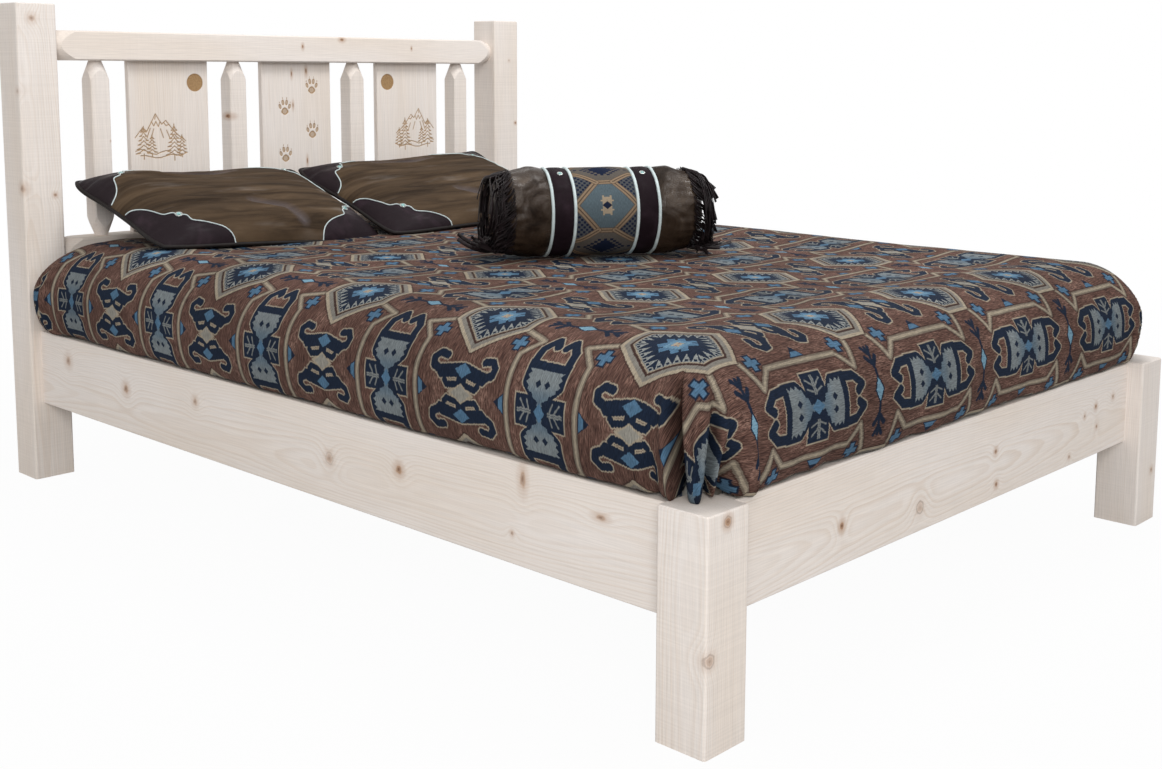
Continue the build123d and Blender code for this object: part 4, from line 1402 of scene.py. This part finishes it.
def fringe(name, settings, side, material):
    # cut strips sewn in round the end's rim: they fall along it to both sides and lie on the bedspread
    data = bpy.data.curves.new(name, "CURVE")
    data.dimensions = "3D"
    data.extrude = settings["stripWide"] / 2 - settings["stripThick"] / 2
    data.bevel_depth = settings["stripThick"] / 2
    data.bevel_resolution = 0
    data.use_fill_caps = True
    data.twist_mode = "Z_UP"
    count = settings["strips"]
    shortest, longest = settings["stripLong"]
    steps = 12
    brush = settings["brush"][side]
    rim = settings["radius"] - 0.006
    lowest = 2.65                                     # past this turn a strip lies on the bedspread
    for number in range(4 * count):
        lift = wave(number * 3.7, side * 2.0, 0.3)
        lean = wave(number * 5.3, side * 9.0, 4.1)
        stray = wave(number * 7.9, side * 5.0, 8.6)
        layer = number // count
        angle = 2 * pi * (number + 0.3 * layer + 0.9 * lift) / count % (2 * pi) - pi
        down = 1 if angle > 0.25 * lean else -1
        length = (shortest + (longest - shortest) * (0.5 + stray)) * (1.0 - 0.55 * (abs(angle) / pi) ** 3)
        out = 0.004 + brush["loose"] * (0.25 * layer + 0.4 * lean + 0.1)
        line = data.splines.new("POLY")
        line.points.add(steps)
        for step, point in enumerate(line.points):
            t = step / steps
            turn = angle + down * length * t / rim
            over = max(0.0, abs(turn) - lowest) * rim
            turn = max(-lowest, min(lowest, turn))
            reach = rim - 0.0015 * layer + 0.012 * stray * sin(3.0 * t)
            reach -= (brush["inward"] + 0.030 * lift) * t
            u = settings["half"] - 0.012 + (out + 0.012) * ease(t, 0.0, 0.30)
            u += brush["flare"] * t * (0.5 + lift)
            spot = rollPlace(side * (u + over * (0.2 + 0.5 * stray)), min(reach, rim + 0.012), turn)
            spot.y += over * (1.1 * lean + 0.4 * stray)
            spot.z = max(spot.z, settings["bed"] + 0.002 + 0.0025 * layer)
            # the curve is built with the roll's axis upright, so a quarter turn of tilt lays it on the disc
            point.co = (spot.y, spot.z, spot.x, 1.0)
            point.tilt = pi / 2 + 1.1 * lean + 1.6 * stray * t
    strips = meshOf(name, data, material)
    strips.data.transform(Matrix(((0, 0, 1, 0), (1, 0, 0, 0), (0, 1, 0, 0), (0, 0, 0, 1))))
    return strips


def makeBolster(settings, leather, materials):
    roll = makeRoll(settings)
    roll.data.materials.append(bolsterLeather(settings, leather))
    tree = rayTree(roll)

    def onRoll(u, angle):
        return tree.ray_cast(rollPlace(u, 0.2, angle), rollPlace(0.0, -1.0, angle))[:2]

    rings = []
    for u in settings["rings"]:
        line = []
        for step in range(72):
            hit, outward = onRoll(u, 2 * pi * step / 72)
            line.append(hit + outward * settings["ringThick"] * 0.45)
        rings.append(cordAlong("ring", line, settings["ringThick"], materials["piping"], closed=True))
    trim = joined("bolsterPiping", rings)
    seats = []
    for u in (-settings["conchoAlong"], settings["conchoAlong"]):
        hit, outward = onRoll(u, radians(settings["conchoLean"]))
        seats.append((hit - outward * settings["conchoSink"], outward))
    conchos = conchosAt("bolsterConchos", materials["concho"], seats, settings["conchoSize"])
    ends = [fringe("bolsterFringe" + label, settings, side, materials["strips"])
            for side, label in ((-1, "Left"), (1, "Right"))]
    low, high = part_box("bolster")
    seat = Matrix.Translation((low + high) / 2) @ Matrix.Rotation(radians(settings["turn"]), 4, "Z")
    seated(((roll, "bolster", "brown_suede"), (trim, None, "white_piping"),
            (conchos, "bolster_conchos", "concho_metal"), (ends[0], None, "dark_leather"),
            (ends[1], None, "dark_leather")), seat)


bolsterMaterials = {
    "piping": pillowMaterials["piping"], "concho": conchoMaster,
    "strips": plainLeather("fringeLeather", (0.0075, 0.0050, 0.0055), 0.40, (0.022, 0.015, 0.016)),
}
makeBolster(bolsterSettings, leatherSettings, bolsterMaterials)
print("the bolster is laid")

# engraved boards

boardSettings = {
    "width": 0.235, "height": 0.476, "thick": 0.019, "edge": 0.0018,
    "middle": 0.829, "face": 1.0825,
    "cell": 0.0012, "coarse": 0.012,
    "cut": 0.0011, "line": 0.0011,      # depth and half width of a graver's line
    "spot": (0.024, 0.0015), "spotPlace": (0.078, 0.169),
    "burnt": (0.42, 0.265, 0.120), "burntDark": (0.26, 0.150, 0.065),
}
# pads of one paw as (x, z, half width, half height), the last is the heel
pawPads = ((-0.0160, 0.0030, 0.0048, 0.0078), (-0.0062, 0.0142, 0.0048, 0.0086),
           (0.0062, 0.0142, 0.0048, 0.0086), (0.0160, 0.0030, 0.0048, 0.0078),
           (0.0, -0.0095, 0.0122, 0.0098))
pawPlaces = ((-0.042, 0.926), (0.052, 0.986), (-0.042, 0.791), (0.052, 0.857), (-0.042, 0.661),
             (0.052, 0.722))


def pineLines(x, foot, tall, tiers):
    # a pine as drooping pairs of boughs down its stem
    lines = [((x, foot), (x, foot + tall * 0.16)), ((x, foot + tall * 0.86), (x, foot + tall))]
    for tier in range(tiers):
        top = foot + tall * (0.95 - 0.78 * tier / tiers)
        reach = tall * (0.06 + 0.20 * (tier + 1) / tiers)
        drop = tall * 0.13
        for side in (-1, 1):
            tip = (x + side * reach, top - drop)
            lines.append(((x, top), (x + side * reach * 0.55, top - drop * 0.75), tip))
            lines.append((tip, (x + side * reach * 0.45, top - drop * 0.95)))
    return lines


def ridgeLines():
    # mountains, their snow lines and the slope below, about the motif's own middle
    ridge = ((-0.074, -0.004), (-0.052, 0.022), (-0.040, 0.012), (-0.014, 0.058), (0.004, 0.030),
             (0.016, 0.040), (0.046, 0.004), (0.074, -0.016))
    lines = [ridge, ((-0.026, 0.037), (-0.019, 0.026), (-0.013, 0.038), (-0.006, 0.024), (-0.001, 0.036)),
             ((-0.014, 0.052), (-0.016, 0.044)), ((0.010, 0.034), (0.017, 0.026), (0.026, 0.029)),
             ((-0.057, 0.016), (-0.050, 0.010), (-0.044, 0.015))]
    lines += [((-0.030, 0.020), (-0.040, -0.006)), ((-0.020, 0.018), (-0.028, -0.008)),
              ((0.000, 0.018), (0.008, -0.006)), ((0.018, 0.014), (0.028, -0.010)),
              ((0.034, 0.004), (0.046, -0.014))]
    slope = tuple((-0.074 + 0.0148 * i, -0.040 + 0.006 * sin(i * 1.3) - 0.0012 * i) for i in range(11))
    lower = tuple((-0.060 + 0.0150 * i, -0.056 + 0.004 * sin(i * 1.1 + 1.0)) for i in range(9))
    return lines + [slope, lower]


def sceneryLines():
    return (ridgeLines() + pineLines(-0.050, -0.062, 0.088, 6) + pineLines(-0.026, -0.056, 0.058, 5)
            + pineLines(0.040, -0.068, 0.098, 7) + pineLines(0.063, -0.060, 0.060, 5))


def makeBoard(name, settings, motif):
    # motif gives the cut's depth share and how burnt it is at a place on the face
    low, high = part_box(name)
    middle = (low.x + high.x) / 2
    half, tall = settings["width"] / 2, settings["height"] / 2

    def spaced(reach, low, high):
        # fine steps between low and high, coarse ones outside
        values = [-reach]
        while values[-1] < reach - 1e-6:
            at = values[-1]
            if low - 1e-9 <= at < high - 1e-9:
                values.append(min(high, at + settings["cell"]))
            else:
                left = (low if at < low else reach) - at
                values.append(at + left / max(1, round(left / settings["coarse"])))
        return values

    (x0, x1), (z0, z1) = motif["box"]
    xs = spaced(half, x0, x1)
    zs = spaced(tall, z0, z1)
    columns, rows = len(xs) - 1, len(zs) - 1
    board = newGrid(name + "Board", columns, rows)
    mesh = board.data
    burn = mesh.attributes.new("burn", "FLOAT", "POINT")
    for vertex in mesh.vertices:
        x = xs[round((vertex.co.x + 1) / 2 * columns)]
        z = zs[round((vertex.co.y + 1) / 2 * rows)]
        depth, burnt = motif["cut"](x, z)
        burn.data[vertex.index].value = burnt
        vertex.co = (middle + x, settings["face"] + depth, settings["middle"] + z)
    bpy.ops.object.mode_set(mode="EDIT")
    bpy.ops.mesh.select_all(action="SELECT")
    bpy.ops.mesh.normals_make_consistent(inside=False)
    bpy.ops.mesh.select_all(action="DESELECT")
    bpy.ops.mesh.select_mode(type="EDGE")
    bpy.ops.mesh.select_non_manifold(extend=False)
    for deeper in (settings["edge"], settings["thick"] - 2 * settings["edge"], settings["edge"]):
        bpy.ops.mesh.extrude_region_move(TRANSFORM_OT_translate={"value": (0, deeper, 0)})
    bpy.ops.mesh.edge_face_add()
    bpy.ops.mesh.select_all(action="SELECT")
    bpy.ops.mesh.normals_make_consistent(inside=False)
    bpy.ops.mesh.select_mode(type="VERT")
    bpy.ops.object.mode_set(mode="OBJECT")
    # the front and back outlines go in by the eased edge
    for vertex in mesh.vertices:
        x, deep, z = vertex.co - Vector((middle, settings["face"], settings["middle"]))
        if deep < 1e-6 or deep > settings["thick"] - 1e-6:
            if abs(abs(x) - half) < 1e-6:
                vertex.co.x = middle + copysign(half - settings["edge"], x)
            if abs(abs(z) - tall) < 1e-6:
                vertex.co.z = settings["middle"] + copysign(tall - settings["edge"], z)
    mesh.update()
    board.select_set(False)
    material = newMaterial(name + "Pine")
    colour, height = pineColour(name, "z", knots=timberKnots.get(name, ()), **motif["grown"])
    burnt = newNode("ShaderNodeAttribute")
    burnt.attribute_name = "burn"
    char = cloud(objectPlace(), 260.0, detail=2.0)
    scorched = blendColour(span(char, 0.35, 0.7), settings["burnt"], settings["burntDark"])
    stained = blendColour(1.0, colour, settings["burnt"], "MULTIPLY")
    scorched = blendColour(0.45, scorched, stained)
    colour = blendColour(span(burnt.outputs["Fac"], 0.05, 0.9, smooth=False), colour, scorched)
    sanded(colour, height)
    mesh.materials.append(material)
    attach(board, "root")
    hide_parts(name)


def pawCut(settings):
    places = [(x, z - settings["middle"]) for x, z in pawPlaces]

    def cut(x, z):
        depth = burnt = 0.0
        for px, pz in places:
            if abs(x - px) > 0.028 or abs(z - pz) > 0.034:
                continue
            nearest = 9.0
            for cx, cz, w, h in pawPads:
                tilt = 0.35 * cx / 0.0160 if cz > 0 else 0.0
                ax, az = x - px - cx, z - pz - cz
                ax, az = ax * cos(tilt) - az * sin(tilt), ax * sin(tilt) + az * cos(tilt)
                if cz < 0:
                    # the heel is broad below and hollow at its foot
                    w *= 1.0 - 0.35 * az / h
                    az += 0.25 * h * max(0.0, 1 - (ax / (0.5 * w)) ** 2) * (az < 0)
                nearest = min(nearest, hypot(ax / w, az / h))
                if cz > 0:
                    claw = (x - px - cx * 1.16) / 0.0012, (z - pz - cz - h - 0.0036) / 0.0030
                    nearest = min(nearest, hypot(*claw))
            share = 1 - ease(nearest, 0.78, 1.10)
            depth = max(depth, share * 0.0010)
            burnt = max(burnt, share * (0.60 + 0.40 * ease(nearest, 0.45, 0.90)))
        return depth, burnt
    return cut


def sceneryCut(settings, mirror):
    lines = sceneryLines()
    boxes = [(min(xs) - 0.004, max(xs) + 0.004, min(zs) - 0.004, max(zs) + 0.004)
             for xs, zs in (zip(*line) for line in lines)]
    spotRadius, spotDepth = settings["spot"]
    spotX, spotZ = settings["spotPlace"]
    motifZ = 0.857 - settings["middle"]

    def cut(x, z):
        x = x * mirror
        far = hypot(x - spotX, z - spotZ)
        share = 1 - ease(far, spotRadius - 0.0008, spotRadius + 0.0006)
        depth, burnt = share * spotDepth, share * 0.88 + 0.20 * exp(-((far - spotRadius) / 0.0013) ** 2)
        mx, mz = x + 0.029, z - motifZ
        if abs(mx) < 0.086 and abs(mz) < 0.084:
            nearest = 1.0
            for line, (a, b, c, d) in zip(lines, boxes):
                if a < mx < b and c < mz < d:
                    nearest = min(nearest, lineReach(mx, mz, line))
            share = 1 - ease(nearest, settings["line"] * 0.55, settings["line"] * 1.7)
            halo = exp(-(nearest / 0.0032) ** 2)
            depth = max(depth, share * settings["cut"])
            burnt = max(burnt, share * 0.85, halo * 0.16)
        return depth, burnt
    return cut


boardMotifs = {
    "head_panel_left": {"box": ((-0.112, 0.104), (-0.050, 0.196)), "cut": sceneryCut(boardSettings, 1),
                        "grown": {"pith": (0.05, 0.03), "contrast": 0.34, "sawing": 0.3}},
    "head_panel_centre": {"box": ((-0.068, 0.078), (-0.195, 0.190)), "cut": pawCut(boardSettings),
                          "grown": {"pith": (0.09, 0.02), "contrast": 0.24, "sawing": 0.3}},
    "head_panel_right": {"box": ((-0.104, 0.112), (-0.050, 0.196)), "cut": sceneryCut(boardSettings, -1),
                         "grown": {"pith": (-0.06, 0.03), "contrast": 0.30, "sawing": 0.3}},
}
for name, motif in boardMotifs.items():
    makeBoard(name, boardSettings, motif)
print("the boards are engraved")

# steel and mattress


def steelFinish():
    material = newMaterial("zincSteel")
    brushed = cloud(objectPlace(), 1.0, detail=2.0, size=(900.0, 900.0, 40.0))
    roughness = span(brushed, 0.3, 0.7, 0.3, 0.45)
    surface((0.55, 0.55, 0.56), roughness, brushed, bump=(0.1, 0.0002), Metallic=1.0)
    return material


zincSteel = steelFinish()
for name, node in nodes.items():
    if name.endswith("screws") or "_plate_" in name:
        node.material_slots[0].material = zincSteel

mattressSettings = {
    "corner": 0.048, "edge": 0.022, "cell": 0.026,
    "tufts": 0.170, "sink": 0.006,  # spacing and depth
    "tape": 0.0045,
}


def tickingFinish():
    material = newMaterial("mattressTicking")
    place = objectPlace()
    x, _, _ = split(place)
    stripe = pingpong(x, 0.016)
    pair = near(stripe, 0.0115, 0.0016)
    fine = near(stripe, 0.0155, 0.0006)
    tone = blendColour(larger(pair, fine), (0.72, 0.7, 0.64), (0.16, 0.2, 0.28))
    weave = cloud(place, 900.0, detail=1.0)
    surface(tone, 0.85, weave, bump=(0.3, 0.0004), Specular_IOR_Level=0.2)
    return material


def makeMattress(settings):
    low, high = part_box("mattress")
    size, middle = high - low, (high + low) / 2
    nx, ny, nz = (round(s / settings["cell"]) for s in size)
    faces = []
    for axis, counts in ((2, (nx, ny)), (1, (nx, nz)), (0, (ny, nz))):
        for side in (-1, 1):
            face = newGrid("mattressFace", *counts)
            others = [i for i in range(3) if i != axis]
            for vertex in face.data.vertices:
                spot = [0.0, 0.0, 0.0]
                spot[others[0]] = vertex.co.x * size[others[0]] / 2
                spot[others[1]] = vertex.co.y * size[others[1]] / 2
                spot[axis] = side * size[axis] / 2
                vertex.co = spot
            faces.append(face)
    block = joined("mattressCover", faces)
    weld(block, 0.0005)
    half = size / 2
    for vertex in block.data.vertices:
        x, y, z = vertex.co
        # rounded upright corners, then rounded edges above and below
        cx, cy = abs(x) - (half.x - settings["corner"]), abs(y) - (half.y - settings["corner"])
        if cx > 0 and cy > 0:
            scale = max(cx, cy) / hypot(cx, cy)
            x = copysign(half.x - settings["corner"] + cx * scale, x)
            y = copysign(half.y - settings["corner"] + cy * scale, y)
        if abs(abs(vertex.co.z) - half.z) < 1e-6:
            inner = min(half.x - abs(vertex.co.x), half.y - abs(vertex.co.y))
            rounded = max(0.0, 1 - inner / settings["edge"])
            tuft = 0.5 + 0.25 * (cos(2 * pi * x / settings["tufts"]) + cos(2 * pi * y / settings["tufts"]))
            sunk = settings["edge"] * 0.35 * rounded ** 2 + settings["sink"] * tuft * (1 - rounded)
            z -= copysign(sunk, z)
        vertex.co = (x, y, z)
    smoothShape(block)
    tapes = []
    tape = plainLeather("mattressTape", (0.45, 0.43, 0.38), 0.8)
    for z in (-1, 1):
        outline = []
        reach = settings["corner"]
        for sx, sy, start in ((1, 1, 0), (-1, 1, 90), (-1, -1, 180), (1, -1, 270)):
            for step in range(7):
                turn = radians(start + 15 * step)
                outline.append(Vector((sx * (half.x - reach) + (reach - 0.006) * cos(turn),
                                       sy * (half.y - reach) + (reach - 0.006) * sin(turn),
                                       z * (half.z - 0.0055))))
        tapes.append(cordAlong("tape", outline, settings["tape"], tape, closed=True))
    block.data.materials.append(tickingFinish())
    edging = joined("mattressTape", tapes)
    seated(((block, "mattress", "mattress_ticking"), (edging, None, "mattress_ticking")),
           Matrix.Translation(middle))
    block.select_set(False)


makeMattress(mattressSettings)
print("the mattress is in")

bpy.data.objects.remove(conchoMaster)
